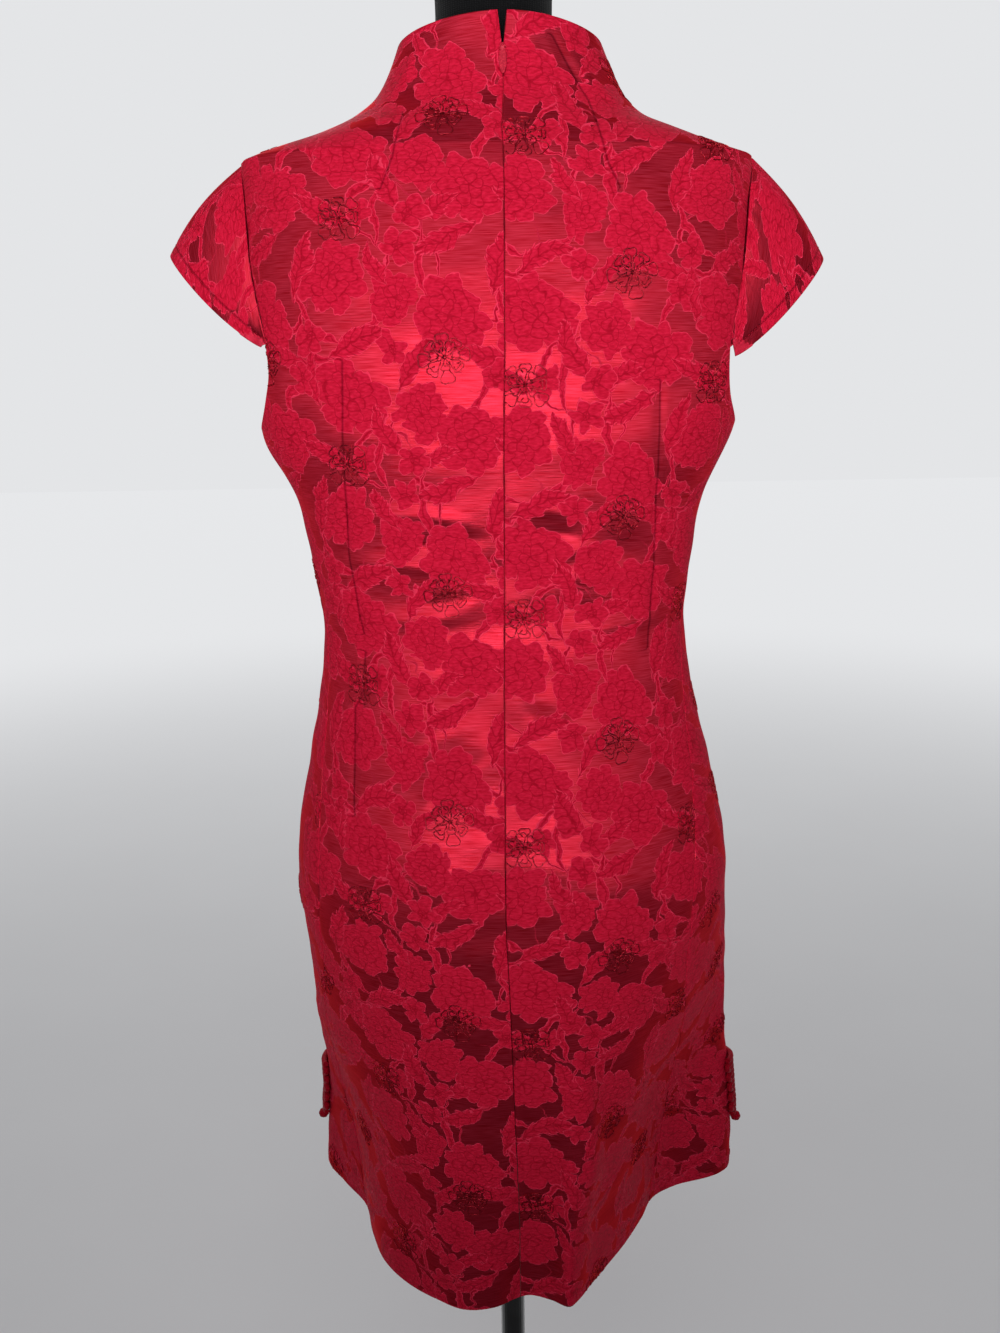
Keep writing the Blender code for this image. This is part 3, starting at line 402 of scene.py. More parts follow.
def heights_up():
    """The heights of the cloth's rows up to the neck's base, closer where the edge or the shoulder turns."""
    stretches = (
        (HEM_Z + EDGE_STEPS[-1] * 2, 1.1740, ROW_STEP),
        (1.1740, 1.2000, 0.0010),
        (1.2000, 1.3450, ROW_STEP),
        (1.3450, NECK_BASE_Z, 0.0011),
    )
    heights = list(HEM_Z + EDGE_STEPS)
    for low, high, step in stretches:
        count = max(1, round((high - low) / step))
        heights += list(np.linspace(low, high, count, endpoint=False))
    return np.array(heights + [NECK_BASE_Z])


FUNNEL_ROWS = 15


def laid_across(first, last, z, columns):
    """Angles across each row at even distances along the cloth, closer at both edges, and those distances."""
    share = np.linspace(0.0, 1.0, 4 * columns + 1)
    angles = first[:, None] + (last - first)[:, None] * share
    points = surface(angles, np.broadcast_to(z[:, None], angles.shape))
    steps = np.linalg.norm(np.diff(points, axis=1), axis=2)
    lengths = np.concatenate((np.zeros((len(z), 1)), np.cumsum(steps, axis=1)), axis=1)
    margin = EDGE_STEPS[-1]
    middle = np.linspace(0.0, 1.0, columns + 1)[1:-1]
    rows, distances = [], []
    for row in range(len(z)):
        total = lengths[row, -1]
        places = margin + (total - 2 * margin) * middle
        places = np.concatenate((EDGE_STEPS, places, total - EDGE_STEPS[::-1]))
        rows.append(np.interp(places, lengths[row], angles[row]))
        distances.append(places)
    return np.array(rows), np.array(distances)


def places_of(span, columns):
    """The grid of (angle, z) over a panel, the distance along each row, and how far the nearest edge is."""
    heights = heights_up()
    first, last = span(heights)
    angles, along = laid_across(first, last, heights, columns)
    z = np.broadcast_to(heights[:, None], angles.shape).copy()
    funnel = NECK_TOP_SIDE_Z - NECK_BASE_Z
    shares = np.concatenate((np.linspace(0.0, 1.0, FUNNEL_ROWS + 1)[1:-1], 1.0 - EDGE_STEPS[::-1] / funnel))
    top_z = NECK_BASE_Z + funnel * shares
    first, last = span(top_z)
    top_angles, top_along = laid_across(first, last, top_z, columns)
    lifted = NECK_BASE_Z + (neck_top(top_angles) - NECK_BASE_Z) * shares[:, None]
    angles = np.concatenate((angles, top_angles))
    along = np.concatenate((along, top_along))
    z = np.concatenate((z, lifted))
    to_side = np.minimum(along, along[:, -1:] - along)
    to_hem = z - HEM_Z
    to_neck = neck_top(angles) - z
    return angles, z, along, np.minimum(np.minimum(to_side, to_hem), to_neck)


def crease_out(x, z, creases):
    """How far the creases move the cloth out, at places (x, z) of the back or the front."""
    total = np.zeros_like(x)
    for crease in creases:
        run_x, run_z = crease.x1 - crease.x0, crease.z1 - crease.z0
        length = math.hypot(run_x, run_z)
        along = ((x - crease.x0) * run_x + (z - crease.z0) * run_z) / length**2
        off = ((x - crease.x0) * run_z - (z - crease.z0) * run_x) / length
        off = off - crease.bow * 4.0 * along * (1.0 - along)
        past = np.clip(np.abs(along - 0.5) * 2.0 - 0.45, 0.0, None) / 0.42
        total += crease.out * np.exp(-(past**2)) * np.exp(-((off / crease.width) ** 2))
    return total


def line_distance(x, z, lines):
    """The signed distance from the nearest sewn line, no more than NO_LINE."""
    nearest = np.full(x.shape, NO_LINE)
    for line in lines:
        for (x0, z0), (x1, z1) in zip(line, line[1:]):
            run_x, run_z = x1 - x0, z1 - z0
            length = math.hypot(run_x, run_z)
            along = ((x - x0) * run_x + (z - z0) * run_z) / length**2
            off = ((x - x0) * run_z - (z - z0) * run_x) / length
            past = np.clip(np.maximum(-along, along - 1.0), 0.0, None) * length
            far = np.hypot(off, past)
            closer = far < np.abs(nearest)
            nearest = np.where(closer, np.where(past > 0.0015, far, np.copysign(far, off)), nearest)
    return nearest


# Small ripples that damask has everywhere: how long each wave is across and along, and how high
Ripple = namedtuple("Ripple", "per_x per_z phase out")
RIPPLES = named(Ripple, (
    (31.0, 190.0, 0.4, 0.00016), (-47.0, 142.0, 1.9, 0.00018), (86.0, 61.0, 2.7, 0.00022),
    (-64.0, 88.0, 4.1, 0.00020), (23.0, 34.0, 0.9, 0.00040), (-19.0, 41.0, 3.3, 0.00035),
))
FORM_EASE = (
    (FORM_BOTTOM_Z, 0.0140),
    (0.820, 0.0075),
    (0.870, 0.0065),
    (0.975, 0.0085),
    (1.025, 0.0090),
    (1.130, 0.0085),
    (1.190, 0.0140),
    (1.230, 0.0150),
    (1.300, 0.0090),
    (1.345, 0.0045),
    (SHOULDER_Z, SHOULDER_SEAT),
    (1.390, SHOULDER_SEAT),
)

# How far the cloth may move in where no form is near it, in the neck and beside the form, and how far out
SKIRT_ROOM = 0.010
NECK_ROOM_Z = 1.395
NECK_ROOM = 0.0012
FORM_CLEAR = 0.0004
MOST_OUT = 0.006


def relief(points, angle):
    """How far creases, darts and ripples move the cloth along its normal, kept clear of the form."""
    x, z = points[..., 0], points[..., 2]
    behind = np.cos(np.radians(angle)) > 0
    creases = np.where(behind, crease_out(x, z, BACK_CREASES), crease_out(x, z, FRONT_CREASES))
    facing = np.clip(np.abs(np.cos(np.radians(angle))) * 3.0, 0.0, 1.0)
    total = creases * facing
    dart = np.where(behind, line_distance(x, z, BACK_DARTS), line_distance(x, z, FRONT_DARTS))
    total = total - DART_DEPTH * np.exp(-((dart / DART_WIDTH) ** 2))
    for ripple in RIPPLES:
        total = total + ripple.out * np.sin(ripple.per_x * x + ripple.per_z * z + ripple.phase)
    room = np.where(z < FORM_BOTTOM_Z, SKIRT_ROOM, between(FORM_EASE, z, 1) - WALL - FORM_CLEAR)
    room = np.where(z > NECK_ROOM_Z, NECK_ROOM, room)
    return np.clip(total, -room, MOST_OUT), np.where(np.abs(dart) < NO_LINE, dart, NO_LINE)


def flat_layout(points, along):
    """Where each point lies on the flat cloth: across from the row's start, and up its grain."""
    x, y, z = points[..., 0], points[..., 1], points[..., 2]
    turn_row = int(np.argmin(np.abs(z[:, z.shape[1] // 2] - GRAIN_TURN_Z)))
    row_x, row_y, row_along = x[turn_row], y[turn_row], along[turn_row]
    order = np.argsort(row_x)
    above = z > GRAIN_TURN_Z
    by_x = np.interp(x, row_x[order], row_along[order])
    y_below = np.interp(x, row_x[order], row_y[order])
    up = GRAIN_TURN_Z + np.hypot(z - GRAIN_TURN_Z, y - y_below)
    return np.stack((np.where(above, by_x, along), np.where(above, up, z)), axis=-1)


def cloth_mesh(name, outer, inner, flat, values, finishes):
    """A walled shell from the outer and inner grid of points, which share their border."""
    rows, columns = outer.shape[:2]
    count = rows * columns
    outer_index = np.arange(count).reshape(rows, columns)
    inner_index = outer_index.copy()
    inner_index[1:-1, 1:-1] = count + np.arange((rows - 2) * (columns - 2)).reshape(rows - 2, columns - 2)
    vertices = np.concatenate((outer.reshape(-1, 3), inner[1:-1, 1:-1].reshape(-1, 3)))

    def quads(index, flip):
        corners = (index[:-1, :-1], index[:-1, 1:], index[1:, 1:], index[1:, :-1])
        corners = corners[::-1] if flip else corners
        return np.stack(corners, axis=-1).reshape(-1, 4)

    middle_row, middle_column = rows // 2, columns // 2
    corner = outer[middle_row, middle_column]
    normal = np.cross(
        outer[middle_row, middle_column + 1] - corner, outer[middle_row + 1, middle_column] - corner
    )
    flip = bool(np.dot(normal, corner - inner[middle_row, middle_column]) < 0)
    faces = np.concatenate((quads(outer_index, flip), quads(inner_index, not flip)))
    mesh = bpy.data.meshes.new(name)
    mesh.vertices.add(len(vertices))
    mesh.vertices.foreach_set("co", vertices.ravel())
    mesh.loops.add(faces.size)
    mesh.loops.foreach_set("vertex_index", faces.ravel())
    mesh.polygons.add(len(faces))
    mesh.polygons.foreach_set("loop_start", np.arange(0, faces.size, 4))
    half = len(faces) // 2
    mesh.polygons.foreach_set("material_index", np.repeat((0, 1), half).astype(np.int32))
    mesh.update(calc_edges=True)
    mesh.validate()
    layout = np.concatenate((flat.reshape(-1, 2), flat[1:-1, 1:-1].reshape(-1, 2)))
    layer = mesh.uv_layers.new(name="flat_cloth")
    layer.uv.foreach_set("vector", layout[faces.ravel()].ravel().astype(np.float32))
    for key, grid in values.items():
        whole = np.concatenate((grid.ravel(), grid[1:-1, 1:-1].ravel()))
        attribute = mesh.attributes.new(key, "FLOAT", "POINT")
        attribute.data.foreach_set("value", whole.astype(np.float32))
    mesh.shade_smooth()
    for finish in finishes:
        mesh.materials.append(finish)
    return placed(name, mesh)


def placed(name, mesh):
    obj = bpy.data.objects.new(name, mesh)
    bpy.context.scene.collection.objects.link(obj)
    return obj


def walls(points, normals, out, to_edge):
    """The outer and inner face of a cloth wall whose edge is rounded."""
    fullness = np.sqrt(1.0 - (1.0 - np.clip(to_edge / EDGE_ROUND, 0.0, 1.0)) ** 2)[..., None]
    moved = points + normals * out[..., None]
    return moved - normals * (WALL / 2 * (1.0 - fullness)), moved - normals * (WALL / 2 * (1.0 + fullness))


Piece = namedtuple("Piece", "obj outer normals flat")


def panel(name, span, columns, direction, finishes):
    """One panel of the dress, laid out to one side (+1 or -1), and its grids for what is sewn on it."""
    angles, z, along, to_edge = places_of(span, columns)
    points, normals = surface(angles, z), outward(angles, z)
    out, dart = relief(points, angles)
    outer, inner = walls(points, normals, out, to_edge)
    flat = flat_layout(points, along) * (direction, 1.0)
    to_hem = np.clip(z - HEM_Z, 0.0, 1.0)
    values = {"sewn": dart, "edge": to_edge, "hem": to_hem}
    obj = cloth_mesh(name, outer, inner, flat, values, finishes)
    return Piece(obj, outer, normals, flat)


# Cap sleeve: how low it meets the armhole, and its hem's reach at the tip
SLEEVE_END_Z = 1.243
SLEEVE_TIP = (0.2415, 0.006, 1.3045)
SLEEVE_TIP_TILT = 0.0045
SLEEVE_END_TILT = 0.0060
SLEEVE_HEM_END_OUT = 0.0040
SLEEVE_HEM_END_IN = 0.88
SLEEVE_HEM_END_Z = 1.2365
SLEEVE_BULGE = 0.006
SLEEVE_SEAM_OUT = 0.0002
SLEEVE_SEAM_GAP = 0.00008
SLEEVE_HEM_DEEP = 0.0080
ARM_CENTRE = np.array((0.175, 0.004, 1.245))
PUCKER_OUT = 0.00035
SLEEVE_SOFT_OUT = 0.0009
STITCH_DENT = 0.00030
SLEEVE_COLUMNS = 96
SLEEVE_ROWS = 26


def mirrored(points, side):
    return points * np.array((side, 1.0, 1.0))


def armhole_point(share, side):
    """Points of the armhole's sewn edge, from its back at 0 over the shoulder to its front at 1."""
    climb = 1.0 - np.abs(2.0 * share - 1.0)
    z = SLEEVE_END_Z + (SHOULDER_Z - SLEEVE_END_Z) * np.sin(climb * math.pi / 2)
    z = np.minimum(z, SHOULDER_Z - 1e-6)
    angle = np.where(share > 0.5, edge_angle(z, True, side), edge_angle(z, False, side))
    edge = mirrored(surface(side * angle, z), side)
    into_hole = (ARM_CENTRE - edge) * np.array((0.0, 1.0, 1.0))
    return edge + unit(into_hole) * SLEEVE_SEAM_GAP + np.array((SLEEVE_SEAM_OUT, 0.0, 0.0))


def sleeve_hem(share, side):
    """Points of the sleeve's hem, out to its tip and back to the armhole."""
    swing = np.clip(np.sin(math.pi * share), 0.0, 1.0)
    tilt = SLEEVE_END_TILT + (SLEEVE_TIP_TILT - SLEEVE_END_TILT) * swing
    end = armhole_point(np.where(share < 0.5, 0.0, 1.0), side)
    start_x = end[..., 0] + SLEEVE_HEM_END_OUT
    swung_y = SLEEVE_TIP[1] * swing + SLEEVE_HEM_END_IN * end[..., 1] * np.abs(np.cos(math.pi * share))
    swung_z = SLEEVE_HEM_END_Z + side * tilt + (SLEEVE_TIP[2] - SLEEVE_HEM_END_Z) * swing**1.3
    return np.stack((start_x + (SLEEVE_TIP[0] - start_x) * swing, swung_y, swung_z), axis=-1)


def sleeve_surface(share, out, side):
    """Points of a sleeve as on the left: share runs along the armhole and out runs from it to the hem."""
    seam, hem = armhole_point(share, side), sleeve_hem(share, side)
    point = seam + (hem - seam) * out[..., None]
    away = unit((point - ARM_CENTRE) * np.array((0.35, 1.0, 1.0)))
    swell = SLEEVE_BULGE * 4.0 * out * (1.0 - out) * np.sin(math.pi * share)
    return point + away * swell[..., None]


def sleeve_normal(share, out, side):
    before, after = np.clip(share - 0.004, 0.0, 1.0), np.clip(share + 0.004, 0.0, 1.0)
    inner, outer = np.clip(out - 0.004, 0.0, 1.0), np.clip(out + 0.004, 0.0, 1.0)
    along = sleeve_surface(after, out, side) - sleeve_surface(before, out, side)
    across = sleeve_surface(share, outer, side) - sleeve_surface(share, inner, side)
    normal = unit(np.cross(along, across))
    facing = normal[..., 2] + 0.2 * np.abs(normal[..., 1])
    return np.where(facing[..., None] > 0, normal, -normal)


def sleeve(name, side, finishes):
    """A cap sleeve: eased into the armhole with small puckers, and turned up and stitched at its hem."""
    share = np.linspace(0.0, 1.0, SLEEVE_COLUMNS + 1)
    share = np.concatenate(((0.0, 0.0010, 0.0028), share[1:-1], (0.9972, 0.9990, 1.0)))
    out = np.concatenate(((0.0, 0.003, 0.010), np.linspace(0.02, 0.98, SLEEVE_ROWS), (0.990, 0.997, 1.0)))
    share, out = np.meshgrid(share, out)
    points = sleeve_surface(share, out, side)
    normals = sleeve_normal(share, out, side)
    width = np.linalg.norm(points[-1] - points[0], axis=-1)[None, :]
    from_seam, from_hem = out * width, (1.0 - out) * width
    seam_run = lengths_along(points[0])
    from_end = np.minimum(seam_run, seam_run[-1] - seam_run)[None, :]
    to_edge = np.minimum(np.minimum(from_seam, from_hem), from_end * np.ones_like(out))
    puckers = PUCKER_OUT * np.sin(seam_run[None, :] * 620.0 + 1.3 * np.sin(seam_run[None, :] * 90.0))
    puckers = puckers * np.exp(-from_seam / 0.010) * np.clip(from_seam / 0.0015, 0.0, 1.0)
    soft = SLEEVE_SOFT_OUT * np.sin(share * 17.0 + 0.8) * np.sin(out * math.pi) ** 2
    stitched = -STITCH_DENT * np.exp(-(((from_hem - SLEEVE_HEM_DEEP) / 0.0011) ** 2))
    relief_out = puckers + soft + stitched
    outer, inner = walls(points, normals, relief_out, to_edge)
    flat = np.stack((seam_run[None, :] + 0.013 * np.ones_like(out), -from_seam + 0.31), axis=-1)
    values = {"sewn": from_hem - SLEEVE_HEM_DEEP, "edge": to_edge, "hem": from_hem}
    outer, inner, normals = (mirrored(grid, side) for grid in (outer, inner, normals))
    obj = cloth_mesh(name, outer, inner, flat, values, finishes)
    return Piece(obj, outer, normals, flat), from_hem


def tube_mesh(runs, radius, sides):
    """Vertices and faces of round tubes of one radius along runs of points, closed at their ends."""
    vertices, faces = [], []
    for run in runs:
        run = np.asarray(run, float)
        tangents = unit(np.gradient(run, axis=0))
        upward = np.array((0.0, 0.0, 1.0)) if abs(tangents[0][2]) < 0.9 else np.array((0.0, 1.0, 0.0))
        side = unit(np.cross(tangents[0], upward))
        base = len(vertices)
        for index, (point, tangent) in enumerate(zip(run, tangents)):
            side = unit(side - tangent * np.dot(side, tangent))
            up = np.cross(tangent, side)
            for corner in range(sides):
                turn = 2 * math.pi * corner / sides
                vertices.append(point + (side * math.cos(turn) + up * math.sin(turn)) * radius)
            if index:
                faces += ring_faces(base + (index - 1) * sides, base + index * sides, sides)
        faces.append(tuple(base + corner for corner in reversed(range(sides))))
        faces.append(tuple(base + (len(run) - 1) * sides + corner for corner in range(sides)))
    return vertices, faces


def mesh_piece(name, vertices, faces, finish, sharp_deg=None):
    mesh = bpy.data.meshes.new(name)
    mesh.from_pydata([tuple(v) for v in vertices], [], faces)
    mesh.shade_smooth()
    if sharp_deg:
        mesh.set_sharp_from_angle(angle=math.radians(sharp_deg))
    mesh.materials.append(finish)
    return placed(name, mesh)


# Knotted cord ornament at the top of each side slit
CORD_RADIUS = 0.0027
FROG_TOP_Z = 0.592
FROG_PITCH = 0.0061
FROG_PASSES = 12
FROG_HALF_WIDTH = 0.0115
FROG_TAPER = 0.025
FROG_CLEAR = 0.0011
BALL_RADIUS = 0.0050
CLEAR = 0.0003
FrogLine = namedtuple("FrogLine", "from_edge lean")
FROG_LINES = {1: FrogLine(0.0530, 0.30), -1: FrogLine(0.0850, 0.12)}


def on_front(grid, side, distance, z):
    """A point of the front panel at a distance in from its side edge and at height z."""
    heights = grid[:, grid.shape[1] // 2, 2]
    row = int(np.clip(np.searchsorted(heights, z), 1, len(heights) - 1))
    line = grid[row] if side > 0 else grid[row][::-1]
    lower = grid[row - 1] if side > 0 else grid[row - 1][::-1]
    share = (z - heights[row - 1]) / (heights[row] - heights[row - 1])
    ends = []
    for points in (lower, line):
        run = lengths_along(points)
        ends.append(np.array([np.interp(distance, run, points[:, axis]) for axis in range(3)]))
    return ends[0] + (ends[1] - ends[0]) * share


def above_front(grid, side, distance, z, lift):
    """The same point lifted off the panel along its normal."""
    step = 0.004
    around = on_front(grid, side, distance + step, z) - on_front(grid, side, distance - step, z)
    up = on_front(grid, side, distance, z + step) - on_front(grid, side, distance, z - step)
    normal = unit(np.cross(around, up))
    if normal[0] * side < 0:
        normal = -normal
    return on_front(grid, side, distance, z) + normal * lift


def smooth_run(points, steps):
    """More points along a smooth curve through the given ones."""
    points = [points[0]] + list(points) + [points[-1]]
    run = []
    for before, start, end, after in zip(points, points[1:], points[2:], points[3:]):
        for step in range(steps):
            t = step / steps
            run.append(
                0.5 * (2 * start + (end - before) * t + (2 * before - 5 * start + 4 * end - after) * t**2
                       + (3 * start - before - 3 * end + after) * t**3)
            )
    run.append(points[-1])
    return run


def frog_from_edge(z, side):
    """How far from the panel's side edge the middle of the ornament lies."""
    return FROG_LINES[side].from_edge + FROG_LINES[side].lean * (FROG_TOP_Z - z)


def frog(word, grid, side, finish):
    """The stacked loops of covered cord, and the round knot under them."""
    lift = CORD_RADIUS + FROG_CLEAR / 2
    route = []
    for turn in range(FROG_PASSES):
        z = FROG_TOP_Z - turn * FROG_PITCH
        reach = FROG_HALF_WIDTH * (1.0 - FROG_TAPER * turn) * (1.0 if turn % 2 == 0 else -1.0)
        for share in (-0.85, -0.57, -0.28, 0.0, 0.28, 0.57, 0.85):
            rise = lift + 0.0006 * math.cos(share * 2.4)
            route.append(above_front(grid, side, frog_from_edge(z, side) + reach * share, z, rise))
        if turn < FROG_PASSES - 1:
            z -= FROG_PITCH / 2
            route.append(above_front(grid, side, frog_from_edge(z, side) + reach, z, lift))
    vertices, faces = tube_mesh([smooth_run(route, 3)], CORD_RADIUS, 12)
    cord = mesh_piece(f"frog_cord_{word}_covered", vertices, faces, finish, 60)
    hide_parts(f"frog_cord_{word}")
    z = FROG_TOP_Z - (FROG_PASSES - 1) * FROG_PITCH - CORD_RADIUS - BALL_RADIUS - CLEAR
    centre = above_front(grid, side, frog_from_edge(z, side), z, BALL_RADIUS + CLEAR)
    knot = knot_ball(f"frog_knot_{word}_tied", centre, finish)
    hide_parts(f"frog_knot_{word}")
    return [cord, knot]


def knot_ball(name, centre, finish):
    """A ball knot: cord wound over itself, as grooved strands that cross on a round core."""
    around, up = 48, 28
    vertices, faces = [], []
    for row in range(up + 1):
        rise = math.pi * row / up
        for column in range(around):
            turn = 2 * math.pi * column / around
            strands = abs(math.sin(2.0 * turn + 3.0 * rise)) * abs(math.sin(2.0 * turn - 3.0 * rise + 0.6))
            radius = BALL_RADIUS * (0.86 + 0.14 * strands**0.5 * math.sin(rise) ** 0.5)
            vertices.append(
                centre + radius * np.array(
                    (math.sin(rise) * math.cos(turn), math.sin(rise) * math.sin(turn), math.cos(rise))
                )
            )
    for row in range(up):
        for column in range(around):
            after = (column + 1) % around
            low, high = row * around, (row + 1) * around
            faces.append((low + column, high + column, high + after, low + after))
    mesh = bpy.data.meshes.new(name)
    mesh.from_pydata([tuple(v) for v in vertices], [], faces)
    obj = placed(name, mesh)
    merge_poles(mesh)
    mesh.shade_smooth()
    mesh.materials.append(finish)
    return obj


def merge_poles(mesh):
    body = bmesh.new()
    body.from_mesh(mesh)
    bmesh.ops.remove_doubles(body, verts=body.verts, dist=1e-6)
    bmesh.ops.dissolve_degenerate(body, dist=1e-7, edges=body.edges)
    body.to_mesh(mesh)
    body.free()


# Zip: coil teeth between two tapes behind the centre back seam, the slider and its pull tab
BAR_Z = 1.4325
BAR_OUT = 0.0027
COIL_PITCH = 0.0011
TOOTH_RADIUS = 0.00042
TOOTH_ARCH = 0.00042
TOOTH_LIFT = 0.00028
TOOTH_OVERLAP = 0.0006
TOOTH_REACH_CLOSED, TOOTH_REACH_OPEN = 0.0021, 0.0019
CLOSED_GAP = 0.0004
BEHIND_CLOTH = 0.0010
TAPE_WIDTH = 0.0095
TAPE_THICKNESS = 0.00035
TAB_LENGTH = 0.0185
TAB_HALF_WIDTH = 0.0026
SLIDER_HALF_WIDTH = 0.0026
SLIDER_HALF_LENGTH = 0.0041
BAR_RADIUS = 0.00055


def on_seam(z):
    return surface(seam_angle(z), z)


def seam_normal(z):
    return outward(seam_angle(z), z)


def zip_rows(z):
    """For each height: the seam's middle, its normal, and the way across it."""
    middle, normal = on_seam(z), seam_normal(z)
    across = unit(np.cross(np.broadcast_to((0.0, 0.0, 1.0), normal.shape), normal))
    return middle, normal, across * np.sign(across[..., :1])


def zip_coil(finish):
    """Interlocked coil teeth up to the slider, and each side's own teeth where the backs part above it."""
    z = np.arange(ZIP_BOTTOM_Z + 0.002, NECK_TOP_BACK_Z - 0.006, COIL_PITCH)
    middle, normal, across = zip_rows(z)
    vertices, faces = [], []
    behind = WALL + BEHIND_CLOTH
    for index, height in enumerate(z):
        gap = float(zip_gap(height)) - SEAM_GAP / 2
        closed = gap < CLOSED_GAP
        for side in (-1, 1):
            reach = TOOTH_REACH_CLOSED if closed else TOOTH_REACH_OPEN
            inner = -TOOTH_OVERLAP if closed else gap - TOOTH_OVERLAP
            lift = TOOTH_LIFT if (index % 2 == 0) == (side > 0) else -TOOTH_LIFT
            offset = np.array((0.0, 0.0, COIL_PITCH / 2 if side > 0 else 0))
            centre = middle[index] - normal[index] * behind + offset
            run = [
                centre + across[index] * side * (inner + (reach - 0.0001) * share)
                + normal[index] * (TOOTH_ARCH * math.sin(math.pi * share) + lift * 0.3)
                for share in (0.0, 0.25, 0.5, 0.75, 1.0)
            ]
            more_vertices, more_faces = tube_mesh([run], TOOTH_RADIUS, 5)
            base = len(vertices)
            vertices += more_vertices
            faces += [tuple(base + corner for corner in face) for face in more_faces]
    return mesh_piece("zip_coil_teeth", vertices, faces, finish, 60)


def zip_tape(name, side, finish):
    """A woven tape along one side of the zip, behind the back panel's turned edge."""
    z = np.linspace(ZIP_BOTTOM_Z - 0.004, NECK_TOP_BACK_Z - 0.0035, 210)
    middle, normal, across = zip_rows(z)
    gap = (zip_gap(z) + 0.0003)[:, None]
    depth = WALL + 0.00025
    shares = np.linspace(0.0, 1.0, 7)
    outer, inner = [], []
    for share in shares:
        place = middle + across * side * (gap + TAPE_WIDTH * share) - normal * depth
        outer.append(place)
        inner.append(place - normal * TAPE_THICKNESS)
    grids = [np.stack(grid, axis=1) for grid in (outer, inner)]
    flat = np.stack(np.meshgrid(shares * TAPE_WIDTH, z), axis=-1)
    values = {"edge": np.full(grids[0].shape[:2], 0.01)}
    return cloth_mesh(name, grids[0], grids[1], flat, values, (finish, finish))


def zip_slider(finish):
    """The slider's two rounded plates and post behind the seam, with the stem and bar that carry the tab."""
    bar = on_seam(BAR_Z) + seam_normal(BAR_Z) * BAR_OUT
    seam = on_seam(BAR_Z)
    back_face = seam[1] - WALL - BEHIND_CLOTH
    vertices, faces = [], []

    def add(more_vertices, more_faces):
        base = len(vertices)
        vertices.extend(more_vertices)
        faces.extend(tuple(base + corner for corner in face) for face in more_faces)

    for low, high in ((back_face - 0.0022, back_face - 0.0015), (back_face - 0.0007, back_face)):
        outline = []
        for step in range(24):
            turn = 2 * math.pi * step / 24
            narrow = 1.0 - 0.28 * max(0.0, -math.sin(turn)) ** 1.5
            outline.append((
                SLIDER_HALF_WIDTH * narrow * math.copysign(abs(math.cos(turn)) ** 0.6, math.cos(turn)),
                SLIDER_HALF_LENGTH * math.copysign(abs(math.sin(turn)) ** 0.6, math.sin(turn)),
            ))
        plate = [np.array((bar[0] + x, y, BAR_Z + z)) for y in (low, high) for x, z in outline]
        add(plate, ring_faces(0, 24, 24) + [tuple(reversed(range(24))), tuple(range(24, 48))])
    post = [np.array((bar[0], y, BAR_Z + 0.0024)) for y in (back_face - 0.0016, back_face - 0.0006)]
    add(*tube_mesh([post], 0.0007, 12))
    stem = [
        np.array((bar[0], back_face - 0.0006, BAR_Z + 0.0016)),
        np.array((bar[0], (back_face + bar[1]) / 2, BAR_Z + 0.0018)),
        np.array((bar[0], bar[1] - 0.0001, BAR_Z + 0.0012)),
        np.array((bar[0], bar[1], BAR_Z)),
    ]
    add(*tube_mesh([smooth_run(stem, 4)], BAR_RADIUS, 10))
    rod = [bar + np.array((x, 0.0, 0.0)) for x in (-0.0021, -0.0010, 0.0010, 0.0021)]
    add(*tube_mesh([rod], BAR_RADIUS, 16))
    slider = mesh_piece("zip_slider_moulded", vertices, faces, finish, 40)
    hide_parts("zip_slider")
    return slider


def zip_pull(finish):
    """The leaf-shaped pull tab with its raised rim, hung on the slider's bar."""
    bar = on_seam(BAR_Z) + seam_normal(BAR_Z) * BAR_OUT
    lean = math.atan2(float(on_seam(BAR_Z - TAB_LENGTH)[1] - on_seam(BAR_Z)[1]), TAB_LENGTH)
    along, around = 40, 20
    vertices, faces = [], []
    for row in range(along + 1):
        share = row / along
        z = 0.0016 - (TAB_LENGTH + 0.0016) * share
        leaf = 0.62 + 0.38 * math.sin(math.pi * min(max((share - 0.12) / 0.80, 0.0), 1.0)) ** 1.2
        tip = math.sqrt(max(1.0 - max((share - 0.80) / 0.20, 0.0) ** 2, 0.0))
        top = math.sqrt(max(1.0 - max((0.08 - share) / 0.08, 0.0) ** 2, 0.0))
        half_width = TAB_HALF_WIDTH * leaf * max(min(tip, top), 0.03)
        thick = 0.0006 + 0.0009 * math.exp(-((share - 0.085) / 0.07) ** 2)
        for corner in range(around):
            turn = 2 * math.pi * corner / around
            x = half_width * math.copysign(abs(math.cos(turn)) ** 0.55, math.cos(turn))
            rim = 0.62 + 0.38 * min(1.0, (abs(x) / max(half_width, 1e-9)) ** 6)
            dished = rim if 0.2 < share < 0.93 else 1.0
            y = thick * dished * math.copysign(abs(math.sin(turn)) ** 0.55, math.sin(turn))
            y *= max(min(tip, 1), 0.25)
            vertices.append((x, y, z))
        if row:
            faces += ring_faces((row - 1) * around, row * around, around)
    faces.append(tuple(reversed(range(around))))
    faces.append(tuple(along * around + corner for corner in range(around)))
    turned_by = Matrix.Translation(Vector(bar)) @ Matrix.Rotation(lean, 4, "X")
    vertices = [turned_by @ Vector(v) for v in vertices]
    pull = mesh_piece("zip_pull_tab", vertices, faces, finish, 50)
    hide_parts("zip_pull")
    return pull


